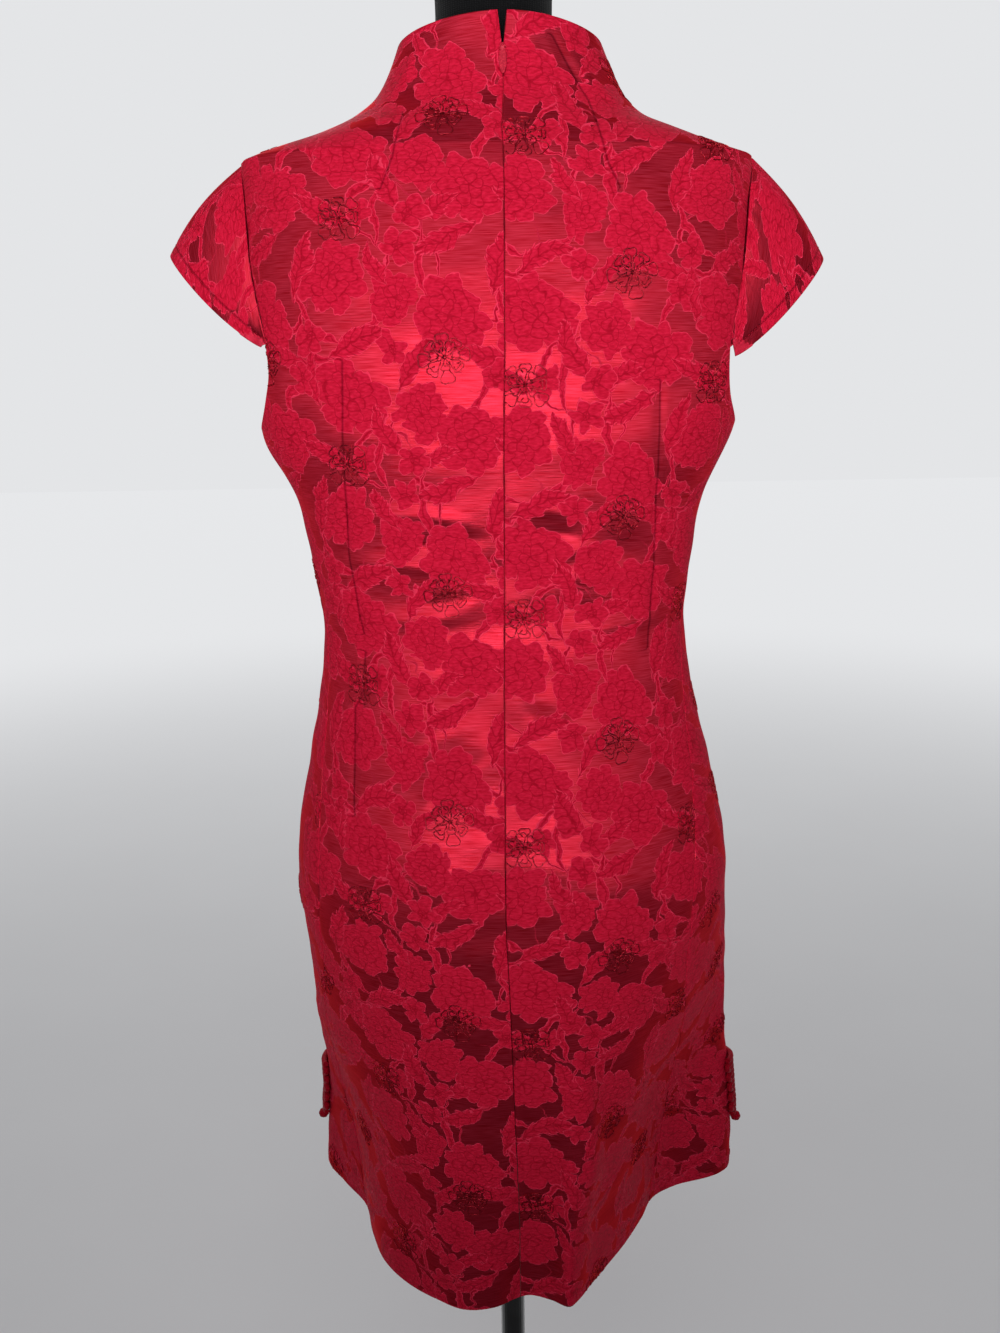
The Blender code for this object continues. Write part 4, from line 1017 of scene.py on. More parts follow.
# The form: its ease inside the garment, and its neck rising out of the funnel
FormNeck = namedtuple("FormNeck", "z half_width back front side_y")
FORM_SHOULDER = named(FormNeck, (
    (1.3912, 0.1050, 0.0725, -0.0495, 0.008), (1.3985, 0.0830, 0.0640, -0.0470, 0.005),
    (1.4080, 0.0630, 0.0545, -0.0455, 0.002), (1.4220, 0.0490, 0.0470, -0.0445, 0.000),
    (1.4420, NECK_RADIUS + 0.001, 0.0430, -0.0440, 0.000), (1.4700, NECK_RADIUS, 0.0425, -0.0435, 0.000),
    (FORM_TOP_Z - 0.004, NECK_RADIUS, 0.0425, -0.0435, 0.000),
    (FORM_TOP_Z, NECK_RADIUS - 0.004, 0.0385, -0.0395, 0.000),
))
ZIP_ROOM = 0.0022
FORM_COLUMNS = 128


def dress_form(finish):
    """The jersey-covered torso inside the dress, with its neck."""
    angle = np.arange(FORM_COLUMNS) * 360.0 / FORM_COLUMNS
    rings = []
    for z in np.concatenate((np.linspace(FORM_BOTTOM_Z, 1.345, 110), np.linspace(1.349, 1.3868, 14))):
        heights = np.full(angle.shape, z)
        room = ZIP_ROOM * np.clip(np.cos(np.radians(angle)), 0.0, None) ** 2
        ring = surface(angle, heights)
        ring = ring - outward(angle, heights) * (between(FORM_EASE, heights, 1) + room)[:, None]
        if z < FORM_BOTTOM_Z + 0.01:
            ring[:, 2] = z
        rings.append(ring)
    for low, high in zip(FORM_SHOULDER, FORM_SHOULDER[1:]):
        for share in np.linspace(0.0, 1.0, 5)[:-1] if high is not FORM_SHOULDER[-1] else (0.0, 0.5, 1.0):
            z = low.z + (high.z - low.z) * share
            half_width, back, front, side_y = (
                float(between(FORM_SHOULDER, np.array(z), column)) for column in (1, 2, 3, 4)
            )
            turn = np.radians(angle)
            depth = np.where(np.cos(turn) >= 0, back - side_y, side_y - front)
            x, y = half_width * np.sin(turn), side_y + depth * np.cos(turn)
            rings.append(np.stack((x, y, np.full(turn.shape, z)), axis=-1))
    vertices = np.concatenate(rings)
    faces = []
    for row in range(len(rings) - 1):
        faces += ring_faces(row * FORM_COLUMNS, (row + 1) * FORM_COLUMNS, FORM_COLUMNS)
    top = (len(rings) - 1) * FORM_COLUMNS
    faces.append(tuple(reversed(range(FORM_COLUMNS))))
    faces.append(tuple(top + column for column in range(FORM_COLUMNS)))
    mesh = bpy.data.meshes.new("form_torso_jersey")
    mesh.from_pydata([tuple(v) for v in vertices], [], faces)
    mesh.shade_smooth()
    mesh.set_sharp_from_angle(angle=math.radians(50))
    mesh.materials.append(finish)
    torso = placed("form_torso_jersey", mesh)
    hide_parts("form_torso")
    return torso


class Shading:
    """Adds nodes to one material, each fed by values or by the nodes before it."""

    MIX_SOCKETS = {"FLOAT": (2, 3, 0), "VECTOR": (4, 5, 1), "RGBA": (6, 7, 2)}

    def __init__(self, name, **constants):
        self.material = bpy.data.materials.new(name)
        self.material.use_nodes = True
        self.tree = self.material.node_tree
        self.shader = self.tree.nodes["Principled BSDF"]
        for key, value in constants.items():
            self.set(key.replace("_", " ").title(), value)

    def set(self, socket, value):
        """Feeds one of the shader's sockets."""
        self.feed(self.shader.inputs[socket.replace("Ior", "IOR")], value)

    def feed(self, socket, value):
        if isinstance(value, bpy.types.NodeSocket):
            self.tree.links.new(value, socket)
        elif socket.type == "RGBA" and len(value) == 3:
            socket.default_value = (*value, 1.0)
        else:
            socket.default_value = value

    def node(self, kind, inputs=(), **settings):
        made = self.tree.nodes.new(kind)
        for key, value in settings.items():
            setattr(made, key, value)
        for key, value in dict(inputs).items():
            self.feed(made.inputs[key], value)
        return made

    def math(self, operation, *values):
        made = self.node("ShaderNodeMath", operation=operation)
        for index, value in enumerate(values):
            self.feed(made.inputs[index], value)
        return made.outputs[0]

    def vector(self, operation, *values):
        made = self.node("ShaderNodeVectorMath", operation=operation)
        for index, value in enumerate(values):
            self.feed(made.inputs[index], value)
        return made.outputs["Value" if operation == "LENGTH" else "Vector"]

    def scaled(self, place, scale):
        return self.vector("MULTIPLY", place, scale)

    def mix(self, share, first, second, kind="FLOAT"):
        made = self.node("ShaderNodeMix", data_type=kind)
        low, high, out = self.MIX_SOCKETS[kind]
        self.feed(made.inputs[0], share)
        self.feed(made.inputs[low], first)
        self.feed(made.inputs[high], second)
        return made.outputs[out]

    def noise(self, place, scale=1.0, detail=2.0, colour=False):
        made = self.node(
            "ShaderNodeTexNoise", {"Vector": place, "Scale": scale, "Detail": detail}, noise_dimensions="3D"
        )
        return made.outputs["Color" if colour else "Fac"]

    def between(self, value, low, high):
        """Rises from 0 to 1 as the value goes from low to high."""
        made = self.node("ShaderNodeMapRange", {"Value": value, "From Min": low, "From Max": high})
        return made.outputs["Result"]

    def inside(self, value, limit):
        return self.math("LESS_THAN", value, limit)

    def attribute(self, name):
        return self.node("ShaderNodeAttribute", attribute_name=name).outputs["Fac"]

    def object_place(self):
        return self.node("ShaderNodeTexCoord").outputs["Object"]

    def flat_place(self):
        return self.node("ShaderNodeUVMap", uv_map="flat_cloth").outputs["UV"]

    def bump(self, height, distance, strength=1.0):
        made = self.node("ShaderNodeBump", {"Height": height, "Distance": distance, "Strength": strength})
        self.set("Normal", made.outputs["Normal"])


# The damask's motifs in one repeat, in metres from its lower left corner: half sizes and turn in degrees
Motif = namedtuple("Motif", "u v long wide turn")
PEONIES = named(Motif, (
    (0.022, 0.030, 0.0275, 0.0225, 12), (0.056, 0.048, 0.0180, 0.0205, -24),
    (0.106, 0.058, 0.0290, 0.0235, 30), (0.036, 0.110, 0.0270, 0.0225, 50),
    (0.074, 0.124, 0.0165, 0.0190, 15), (0.118, 0.138, 0.0235, 0.0260, 75),
))
BLOSSOMS = named(Motif, (
    (0.062, 0.014, 0.0135, 0.0120, 10), (0.076, 0.090, 0.0125, 0.0115, 50),
    (0.136, 0.098, 0.0120, 0.0130, -15), (0.070, 0.156, 0.0130, 0.0115, 33),
    (0.004, 0.072, 0.0120, 0.0110, 64), (0.098, 0.016, 0.0110, 0.0120, 20),
))
LEAVES = named(Motif, (
    (0.080, 0.034, 0.0230, 0.0076, 62), (0.060, 0.080, 0.0210, 0.0068, 128),
    (0.126, 0.018, 0.0250, 0.0075, 24), (0.100, 0.094, 0.0240, 0.0080, 158),
    (0.002, 0.146, 0.0240, 0.0076, 108), (0.086, 0.144, 0.0170, 0.0060, 58),
    (0.134, 0.072, 0.0200, 0.0066, 84), (0.040, 0.160, 0.0230, 0.0070, -22),
    (0.046, 0.016, 0.0180, 0.0062, 150), (0.016, 0.086, 0.0200, 0.0064, 12),
))
BLADES = named(Motif, (
    (0.050, 0.140, 0.0330, 0.0110, 74), (0.092, 0.108, 0.0300, 0.0100, -36),
    (0.008, 0.060, 0.0310, 0.0110, 128), (0.082, 0.020, 0.0300, 0.0105, 102),
    (0.132, 0.110, 0.0280, 0.0100, 48),
))
BANDS = named(Motif, (
    (0.082, 0.016, 0.0260, 0.0230, 20), (0.012, 0.084, 0.0250, 0.0240, 140),
    (0.124, 0.104, 0.0230, 0.0250, -60), (0.062, 0.144, 0.0230, 0.0210, 95),
))

# The damask's colours, and how much of the rim's and the line's colour shows
RIM_RED = (0.680, 0.0350, 0.0850)
RIM_SHARE = 0.62
LINE_RED = (0.220, 0.0020, 0.0085)
LINE_SHARE = 0.55
CREPE_REDS = (0.370, 0.0048, 0.0200), (0.530, 0.0100, 0.0390)
SATIN_REDS = (0.340, 0.0060, 0.0150), (0.510, 0.0250, 0.0530)
SEAM_SHADOW = (0.45, 0.40, 0.45)
CLOTH_GLANCE = (1.0, 0.10, 0.16)
CORD_GLANCE = (1.0, 0.16, 0.22)
ZIP_GLANCE = (1.0, 0.30, 0.36)

# How glossy its satin ground and its crepe figures are, and how deep the weave is
SATIN_METALLIC = 0.82
SATIN_GLOSS = (0.42, 0.16)
CREPE_ROUGHNESS = 0.66
WEAVE_DEPTH = 0.00042
CRINKLE_PER_METRE = (260.0, 640.0, 1.0)
SLUB_PER_METRE = (60.0, 1500.0, 1.0)
WEAVE_STRENGTH = (0.20, 0.75)

# How far the woven outlines wander, and over what length
WANDER_PER_METRE = 66.0
WANDER = 0.0150


def nearest(shade, place, motifs):
    """The place from the nearest motif, along its own axes and in its own sizes, and how far off."""
    best = best_far = None
    for motif in motifs:
        low = (motif.u - TILE_WIDTH / 2, motif.v - TILE_HEIGHT / 2, -1.0)
        high = (motif.u + TILE_WIDTH / 2, motif.v + TILE_HEIGHT / 2, 1.0)
        wrapped = shade.vector("WRAP", place, high, low)
        own = shade.node(
            "ShaderNodeMapping",
            {
                "Vector": wrapped,
                "Location": (motif.u, motif.v, 0.0),
                "Rotation": (0.0, 0.0, math.radians(motif.turn)),
                "Scale": (motif.long, motif.wide, 1.0),
            },
            vector_type="TEXTURE",
        ).outputs[0]
        far = shade.vector("LENGTH", own)
        if best is None:
            best, best_far = own, far
        else:
            closer = shade.inside(far, best_far)
            best = shade.mix(closer, best, own, "VECTOR")
            best_far = shade.math("MINIMUM", best_far, far)
    return best, best_far


def petals(shade, angle, count, phase):
    """A wave round a flower that is 0 where two petals meet and 1 at a petal's middle."""
    swing = shade.math("MULTIPLY_ADD", angle, count / 2, phase)
    return shade.math("ABSOLUTE", shade.math("SINE", swing))


def around(shade, own):
    axes = shade.node("ShaderNodeSeparateXYZ", {0: own})
    return axes.outputs[0], axes.outputs[1], shade.math("ARCTAN2", axes.outputs[1], axes.outputs[0])


Layer = namedtuple("Layer", "mask line rim")
SATIN_STRETCH = 0.70
LINE_WIDTH = 0.00048
RIM_WIDTH = 0.00065


def peony_layer(shade, place):
    """Full uneven blooms of three rings of petals, each petal outlined."""
    own, far = nearest(shade, place, PEONIES)
    _, _, angle = around(shade, own)
    size = 0.024
    outer, middle, heart = (
        petals(shade, angle, 9, 0.3), petals(shade, angle, 9, 1.9), petals(shade, angle, 5, 0.8)
    )
    lobes = shade.math("MULTIPLY_ADD", petals(shade, angle, 3, 0.7), 0.22, 0.66)
    outer_edge = shade.math("MULTIPLY_ADD", shade.math("POWER", outer, 0.60), 0.24, lobes)
    middle_edge = shade.math("MULTIPLY_ADD", shade.math("POWER", middle, 0.5), 0.17, 0.52)
    heart_edge = shade.math("MULTIPLY_ADD", shade.math("POWER", heart, 0.6), 0.14, 0.22)
    mask = shade.inside(far, outer_edge)
    past_middle = shade.math("GREATER_THAN", far, middle_edge)
    past_heart = shade.math("GREATER_THAN", far, heart_edge)
    wave = shade.mix(past_heart, heart, shade.mix(past_middle, middle, outer))
    split = shade.math("MULTIPLY", wave, far)
    to_middle = shade.math("ABSOLUTE", shade.math("SUBTRACT", far, middle_edge))
    to_heart = shade.math("ABSOLUTE", shade.math("SUBTRACT", far, heart_edge))
    nearest_ring = shade.math("MINIMUM", to_middle, to_heart)
    drawn = shade.math("MINIMUM", nearest_ring, shade.math("MULTIPLY", split, 0.35))
    line = shade.inside(drawn, LINE_WIDTH / size)
    to_edge = shade.math("SUBTRACT", outer_edge, far)
    rim = shade.inside(to_edge, RIM_WIDTH / size)
    return Layer(mask, line, rim)


def blossom_layer(shade, place):
    """Small open flowers of five round petals about a ringed middle."""
    own, far = nearest(shade, place, BLOSSOMS)
    _, _, angle = around(shade, own)
    size = 0.012
    wave = petals(shade, angle, 5, 0.2)
    edge = shade.math("MULTIPLY_ADD", shade.math("POWER", wave, 0.7), 0.42, 0.58)
    mask = shade.inside(far, edge)
    ring = shade.math("ABSOLUTE", shade.math("SUBTRACT", far, 0.24))
    split = shade.math("MULTIPLY", shade.math("MULTIPLY", wave, far), 0.4)
    line = shade.inside(shade.math("MINIMUM", ring, split), LINE_WIDTH / size)
    rim = shade.inside(shade.math("SUBTRACT", edge, far), RIM_WIDTH / size)
    return Layer(mask, line, rim)


def leaf_layer(shade, place):
    """Pointed leaves with a midrib, side veins and a toothed margin."""
    own, _ = nearest(shade, place, LEAVES)
    x, y, _ = around(shade, own)
    size = 0.0060
    square = shade.math("MULTIPLY", x, x)
    across = shade.math("ABSOLUTE", shade.math("MULTIPLY_ADD", square, -0.45, shade.math("ADD", y, 0.18)))
    veins = shade.math("FRACT", shade.math("MULTIPLY_ADD", x, 3.2, shade.math("MULTIPLY", across, -0.9)))
    toothed = shade.math("MULTIPLY_ADD", veins, 0.22, 0.90)
    body = shade.math("SUBTRACT", shade.math("SUBTRACT", toothed, square), across)
    mask = shade.math("GREATER_THAN", body, 0.0)
    side_vein = shade.math("ABSOLUTE", shade.math("SUBTRACT", veins, 0.5))
    line = shade.inside(shade.math("MINIMUM", across, side_vein), LINE_WIDTH / size)
    rim = shade.inside(body, RIM_WIDTH / size)
    return Layer(mask, line, rim)


def blade_layer(shade, place):
    """Long narrow leaves that bow like grass."""
    own, _ = nearest(shade, place, BLADES)
    x, y, _ = around(shade, own)
    size = 0.0105
    square = shade.math("MULTIPLY", x, x)
    across = shade.math("ABSOLUTE", shade.math("MULTIPLY_ADD", square, -1.10, shade.math("ADD", y, 0.45)))
    body = shade.math("SUBTRACT", shade.math("MULTIPLY_ADD", square, -0.34, 0.34), across)
    mask = shade.math("GREATER_THAN", body, 0.0)
    line = shade.inside(across, LINE_WIDTH / size)
    rim = shade.inside(body, RIM_WIDTH / size)
    return Layer(mask, line, rim)


def band_layer(shade, place):
    """Stems as doubled curved bands, each a part of a ring."""
    own, far = nearest(shade, place, BANDS)
    x, _, _ = around(shade, own)
    size = 0.023
    off = shade.math("ABSOLUTE", shade.math("SUBTRACT", far, 0.88))
    half = shade.math("MULTIPLY_ADD", x, 0.055, 0.050)
    body = shade.math("SUBTRACT", half, off)
    mask = shade.math("GREATER_THAN", body, 0.0)
    line = shade.inside(off, LINE_WIDTH * 1.2 / size)
    rim = shade.inside(body, RIM_WIDTH / size)
    return Layer(mask, line, rim)


def over(shade, lower, upper):
    """One layer of motifs lying over another."""
    mask = shade.math("MAXIMUM", lower.mask, upper.mask)
    line = shade.mix(upper.mask, lower.line, upper.line)
    return Layer(mask, line, shade.mix(upper.mask, lower.rim, upper.rim))


def damask(name, offset):
    """Figured satin: matt crepe flowers with a light rim on a glossy ground, laid out in flat metres."""
    shade = Shading(name, sheen_weight=0.05, sheen_roughness=0.35, specular_ior_level=0.04)
    shade.set("Sheen Tint", CLOTH_GLANCE)
    shade.set("Specular Tint", CLOTH_GLANCE)
    shade.set("Anisotropic", SATIN_STRETCH)
    weft = shade.node("ShaderNodeTangent", direction_type="UV_MAP", uv_map="flat_cloth").outputs[0]
    shade.set("Tangent", weft)
    flat = shade.vector("SUBTRACT", shade.flat_place(), (*offset, 0.0))
    wander = shade.noise(flat, WANDER_PER_METRE, 2.0, colour=True)
    drift = shade.vector("SCALE", shade.vector("SUBTRACT", wander, (0.5, 0.5, 0.5)))
    drift.node.inputs["Scale"].default_value = WANDER
    place = shade.vector("MULTIPLY", shade.vector("ADD", flat, drift), (1.0, 1.0, 0.0))
    figure = over(shade, band_layer(shade, place), blade_layer(shade, place))
    figure = over(shade, figure, peony_layer(shade, place))
    figure = over(shade, figure, leaf_layer(shade, place))
    figure = over(shade, figure, blossom_layer(shade, place))

    crinkle = shade.noise(shade.scaled(flat, CRINKLE_PER_METRE), 1.0, 2.0)
    slub = shade.noise(shade.scaled(flat, SLUB_PER_METRE), 1.0, 1.0)
    tone = shade.noise(flat, 34.0, 2.0)
    crepe = shade.mix(shade.between(crinkle, 0.34, 0.68), *CREPE_REDS, "RGBA")
    crepe = shade.mix(shade.math("MULTIPLY", figure.rim, RIM_SHARE), crepe, RIM_RED, "RGBA")
    crepe = shade.mix(shade.math("MULTIPLY", figure.line, LINE_SHARE), crepe, LINE_RED, "RGBA")
    satin = shade.mix(shade.between(slub, 0.30, 0.70), *SATIN_REDS, "RGBA")
    colour = shade.mix(figure.mask, satin, crepe, "RGBA")
    shadow = shade.between(shade.math("ABSOLUTE", shade.attribute("sewn")), 0.0, 0.0013)
    colour = shade.mix(shadow, shade.scaled(colour, SEAM_SHADOW), colour, "RGBA")
    shade.set("Base Color", colour)
    shade.set("Metallic", shade.mix(figure.mask, SATIN_METALLIC, 0.0))
    gloss = shade.math("MULTIPLY_ADD", tone, SATIN_GLOSS[1], SATIN_GLOSS[0])
    shade.set("Roughness", shade.mix(figure.mask, gloss, CREPE_ROUGHNESS))
    weave = shade.math("MULTIPLY_ADD", slub, 0.35, crinkle)
    shade.bump(weave, WEAVE_DEPTH, shade.mix(figure.mask, *WEAVE_STRENGTH))
    return shade.material


def cloth_back(name):
    """The damask's plain reverse, where the weave shows but not the flowers."""
    shade = Shading(name, roughness=0.62, sheen_weight=0.06, sheen_roughness=0.5, specular_ior_level=0.06)
    flat = shade.flat_place()
    slub = shade.noise(shade.scaled(flat, (90.0, 1300.0, 1.0)), 1.0, 2.0)
    tone = shade.noise(flat, 70.0, 2.0)
    colour = shade.mix(shade.between(slub, 0.3, 0.7), (0.34, 0.006, 0.022), (0.47, 0.012, 0.038), "RGBA")
    shade.set("Base Color", shade.mix(shade.between(tone, 0.45, 0.60), colour, (0.52, 0.016, 0.046), "RGBA"))
    shade.bump(slub, 0.0003, 0.6)
    return shade.material


def thread(name, colour, metallic, roughness):
    """Twisted shiny thread or cord."""
    shade = Shading(name, metallic=metallic, roughness=roughness, specular_ior_level=0.15)
    shade.set("Specular Tint", CORD_GLANCE)
    place = shade.object_place()
    twist = shade.noise(shade.scaled(place, (2200.0, 2200.0, 900.0)), 1.0, 1.0)
    dark = tuple(value * 0.62 for value in colour)
    shade.set("Base Color", shade.mix(shade.between(twist, 0.35, 0.65), dark, colour, "RGBA"))
    shade.bump(twist, 0.0002, 0.7)
    return shade.material


def covered_cord(name):
    """Self-fabric tubing: satin with faint wrinkles across it, coloured darker than the cloth with painted
    shade that is deepest in the wrinkles' troughs.
    """
    shade = Shading(name, roughness=0.55, specular_ior_level=0.06)
    shade.set("Specular Tint", CORD_GLANCE)
    place = shade.object_place()
    wrinkle_and_shade = shade.noise(shade.scaled(place, (420.0, 420.0, 700.0)), 1.0, 3.0)
    weave = shade.noise(shade.scaled(place, (1800.0, 1800.0, 2600.0)), 1.0, 1.0)
    # Painted shade: the cord's colour is darker than the cloth's, and darkest where the wrinkles dip
    shade.set("Base Color", shade.mix(wrinkle_and_shade, (0.11, 0.001, 0.004), (0.40, 0.006, 0.022), "RGBA"))
    shade.bump(shade.math("ADD", wrinkle_and_shade, shade.math("MULTIPLY", weave, 0.3)), 0.0006, 0.8)
    return shade.material


def zip_material(name, colour, roughness, coat):
    shade = Shading(name, roughness=roughness, coat_weight=coat, coat_roughness=0.3, specular_ior_level=0.2)
    shade.set("Specular Tint", ZIP_GLANCE)
    wear = shade.noise(shade.object_place(), 900.0, 3.0)
    light = tuple(min(1.0, value * 1.7 + 0.01) for value in colour)
    shade.set("Base Color", shade.mix(shade.between(wear, 0.40, 0.75), colour, light, "RGBA"))
    shade.bump(wear, 0.00008, 0.5)
    return shade.material


def tape_material(name):
    shade = Shading(name, roughness=0.75, sheen_weight=0.2)
    place = shade.object_place()
    ribs = shade.node(
        "ShaderNodeTexWave", {"Vector": place, "Scale": 260.0, "Distortion": 0.6}, bands_direction="Z"
    ).outputs["Fac"]
    shade.set("Base Color", shade.mix(ribs, (0.20, 0.003, 0.010), (0.40, 0.008, 0.030), "RGBA"))
    shade.bump(ribs, 0.0002, 0.7)
    return shade.material


def jersey(name):
    """Black knitted cover: fine ribs of stitches, with a soft nap and a little lint."""
    shade = Shading(name, roughness=0.90, sheen_weight=0.04, sheen_roughness=0.5, specular_ior_level=0.10)
    place = shade.object_place()
    wales = shade.node(
        "ShaderNodeTexWave", {"Vector": place, "Scale": 190.0, "Distortion": 1.2, "Detail Scale": 3.0},
        bands_direction="X",
    ).outputs["Fac"]
    courses = shade.node(
        "ShaderNodeTexWave", {"Vector": place, "Scale": 240.0, "Distortion": 0.8}, bands_direction="Z"
    ).outputs["Fac"]
    lint = shade.noise(place, 420.0, 4.0)
    knit = shade.math("MULTIPLY", wales, courses)
    colour = shade.mix(knit, (0.0018, 0.0018, 0.0020), (0.0070, 0.0070, 0.0080), "RGBA")
    shade.set("Base Color", shade.mix(shade.between(lint, 0.70, 0.80), colour, (0.040, 0.038, 0.040), "RGBA"))
    shade.bump(knit, 0.0004, 0.6)
    return shade.material


def painted_steel(name):
    """Black powder coat with a fine orange peel, rubbed a little lighter in places."""
    shade = Shading(name, metallic=0.1, coat_weight=0.25, coat_roughness=0.25)
    place = shade.object_place()
    peel = shade.noise(place, 1400.0, 2.0)
    rub = shade.noise(place, 18.0, 5.0)
    worn = shade.between(rub, 0.52, 0.75)
    shade.set("Base Color", shade.mix(worn, (0.012, 0.012, 0.013), (0.035, 0.035, 0.037), "RGBA"))
    shade.set("Roughness", shade.mix(rub, 0.28, 0.50))
    shade.bump(peel, 0.00012, 0.6)
    return shade.material


def floor_material():
    """A plain pale floor that meets the room's light far off without a line."""
    shade = Shading("pale_floor", roughness=0.9, specular_ior_level=0.1)
    place = shade.object_place()
    far = shade.node(
        "ShaderNodeMapRange",
        {"Value": shade.vector("LENGTH", place), "From Min": FLOOR_FADE[0], "From Max": FLOOR_FADE[1]},
        interpolation_type="SMOOTHSTEP",
    ).outputs["Result"]
    toward = shade.node("ShaderNodeSeparateXYZ", {0: shade.vector("NORMALIZE", place)}).outputs["Y"]
    room = shade.node(
        "ShaderNodeMapRange",
        {"Value": toward, **dict(zip(("From Min", "From Max", "To Min", "To Max"), ROOM_LIGHT))},
        interpolation_type="SMOOTHSTEP",
    ).outputs["Result"]
    cloud = shade.noise(place, 3.0, 3.0)
    pale = shade.mix(cloud, (0.66, 0.66, 0.67), (0.70, 0.70, 0.71), "RGBA")
    shade.set("Base Color", shade.mix(far, pale, (0.0, 0.0, 0.0), "RGBA"))
    shade.set("Emission Color", ROOM_COLOUR)
    shade.set("Emission Strength", shade.math("MULTIPLY", far, room))
    return shade.material


# Embroidered outlines of open peonies, two to each repeat
EMBROIDERED = ((0.040, 0.084, 0.0), (0.112, 0.012, 38.0))
EMBROIDERED_SIZE = 0.0170
THREAD_RADIUS = 0.00048
PETAL_STEPS = 18
ON_CLOTH = 0.0022
LONGEST_STITCH = 0.006
BLOOM_SQUASH = 0.92
PetalRing = namedtuple("PetalRing", "count inner outer half_deg start_deg")
PETAL_RINGS = named(PetalRing, (
    (8, 0.54, 1.02, 26, 8), (7, 0.24, 0.70, 31, 30), (4, 0.03, 0.38, 36, 12),
))
# How much longer or shorter each petal in turn is
UNEVEN = (1.00, 0.88, 1.08, 0.94, 1.12, 0.84, 1.02, 0.90, 1.06)


def bloom_outlines(turn):
    """Closed petal outlines of one bloom about its middle, in metres."""
    outlines = []
    for ring_index, ring in enumerate(PETAL_RINGS):
        for petal in range(ring.count):
            centre = math.radians(ring.start_deg + turn + 360.0 * petal / ring.count)
            grow = UNEVEN[(petal + 2 * ring_index) % len(UNEVEN)]
            outline = []
            for step in range(PETAL_STEPS + 1):
                share = step / PETAL_STEPS
                swing = math.sin(math.pi * share)
                swell = math.radians(ring.half_deg) * math.cos(math.pi * share) * (0.35 + 0.65 * swing**0.5)
                notch = 1.0 - 0.10 * math.exp(-(((share - 0.5) / 0.07) ** 2))
                reach = ring.inner + (ring.outer * grow - ring.inner) * swing**0.6 * notch
                reach *= EMBROIDERED_SIZE
                place = centre + swell
                outline.append((reach * math.sin(place), reach * math.cos(place) * BLOOM_SQUASH))
            outlines.append(outline)
    return outlines


def embroidery(name, piece, offset, finish):
    """Shiny thread laid along the outlines of the blooms that fall on one panel."""
    grid, flat = piece.outer, piece.flat
    rows, columns = flat.shape[:2]
    tree = KDTree(rows * columns)
    for index, (u, v) in enumerate(flat.reshape(-1, 2)):
        tree.insert((u, v, 0.0), index)
    tree.balance()
    by_row = np.gradient(grid, axis=0), np.gradient(flat, axis=0)
    by_column = np.gradient(grid, axis=1), np.gradient(flat, axis=1)

    def on_cloth(u, v):
        _, index, far = tree.find((u, v, 0.0))
        row, column = divmod(index, columns)
        if far > ON_CLOTH or row in (0, rows - 1) or column in (0, columns - 1):
            return None
        matrix = np.array((by_row[1][row, column], by_column[1][row, column])).T
        rest = np.array((u, v)) - flat[row, column]
        if abs(np.linalg.det(matrix)) < 1e-10:
            return None
        share = np.clip(np.linalg.solve(matrix, rest), -1.0, 1.0)
        point = grid[row, column] + by_row[0][row, column] * share[0] + by_column[0][row, column] * share[1]
        return point + piece.normals[row, column] * THREAD_RADIUS * 0.4

    low, high = flat.reshape(-1, 2).min(axis=0), flat.reshape(-1, 2).max(axis=0)
    runs = []
    for bloom_u, bloom_v, turn in EMBROIDERED:
        outlines = bloom_outlines(turn)
        first_u = math.floor((low[0] - offset[0] - bloom_u) / TILE_WIDTH)
        first_v = math.floor((low[1] - offset[1] - bloom_v) / TILE_HEIGHT)
        for across in range(first_u, first_u + 8):
            for up in range(first_v, first_v + 10):
                u = offset[0] + bloom_u + across * TILE_WIDTH
                v = offset[1] + bloom_v + up * TILE_HEIGHT
                if not (low[0] - 0.02 < u < high[0] + 0.02 and low[1] - 0.02 < v < high[1] + 0.02):
                    continue
                for outline in outlines:
                    run = []
                    for du, dv in outline:
                        point = on_cloth(u + du, v + dv)
                        if point is None or (run and np.linalg.norm(point - run[-1]) > LONGEST_STITCH):
                            if len(run) > 2:
                                runs.append(run)
                            run = [] if point is None else [point]
                        else:
                            run.append(point)
                    if len(run) > 2:
                        runs.append(run)
    vertices, faces = tube_mesh(runs, THREAD_RADIUS, 3)
    return mesh_piece(name, vertices, faces, finish)


# Topstitching: each stitch's length, the gap after it, and the thread's radius
TOPSTITCH = (0.0024, 0.0007, 0.00022)


def stitches(name, path, normals, length, gap, radius, finish):
    """A row of topstitching along a path on the cloth."""
    run = lengths_along(path)
    runs = []
    start = gap
    while start + length < run[-1]:
        places = start + length * np.linspace(0.0, 1.0, 5)
        points = np.stack([np.interp(places, run, path[:, axis]) for axis in range(3)], axis=-1)
        lift = np.stack([np.interp(places, run, normals[:, axis]) for axis in range(3)], axis=-1)
        height = radius * np.array((-0.8, 0.5, 0.8, 0.5, -0.8))
        runs.append(points + lift * height[:, None])
        start += length + gap
    vertices, faces = tube_mesh(runs, radius, 6)
    return mesh_piece(name, vertices, faces, finish)


def sleeve_stitches(name, piece, from_hem, finish):
    """The topstitching that holds up a cap sleeve's hem."""
    path, normals = [], []
    for column in range(piece.outer.shape[1]):
        far = from_hem[:, column]
        if far[0] < SLEEVE_HEM_DEEP:
            continue
        row = np.interp(-SLEEVE_HEM_DEEP, -far, np.arange(len(far)))
        low = min(int(row), len(far) - 2)
        share = row - low
        path.append(piece.outer[low, column] * (1 - share) + piece.outer[low + 1, column] * share)
        normals.append(piece.normals[low, column])
    return stitches(name, np.array(path), np.array(normals), *TOPSTITCH, finish)


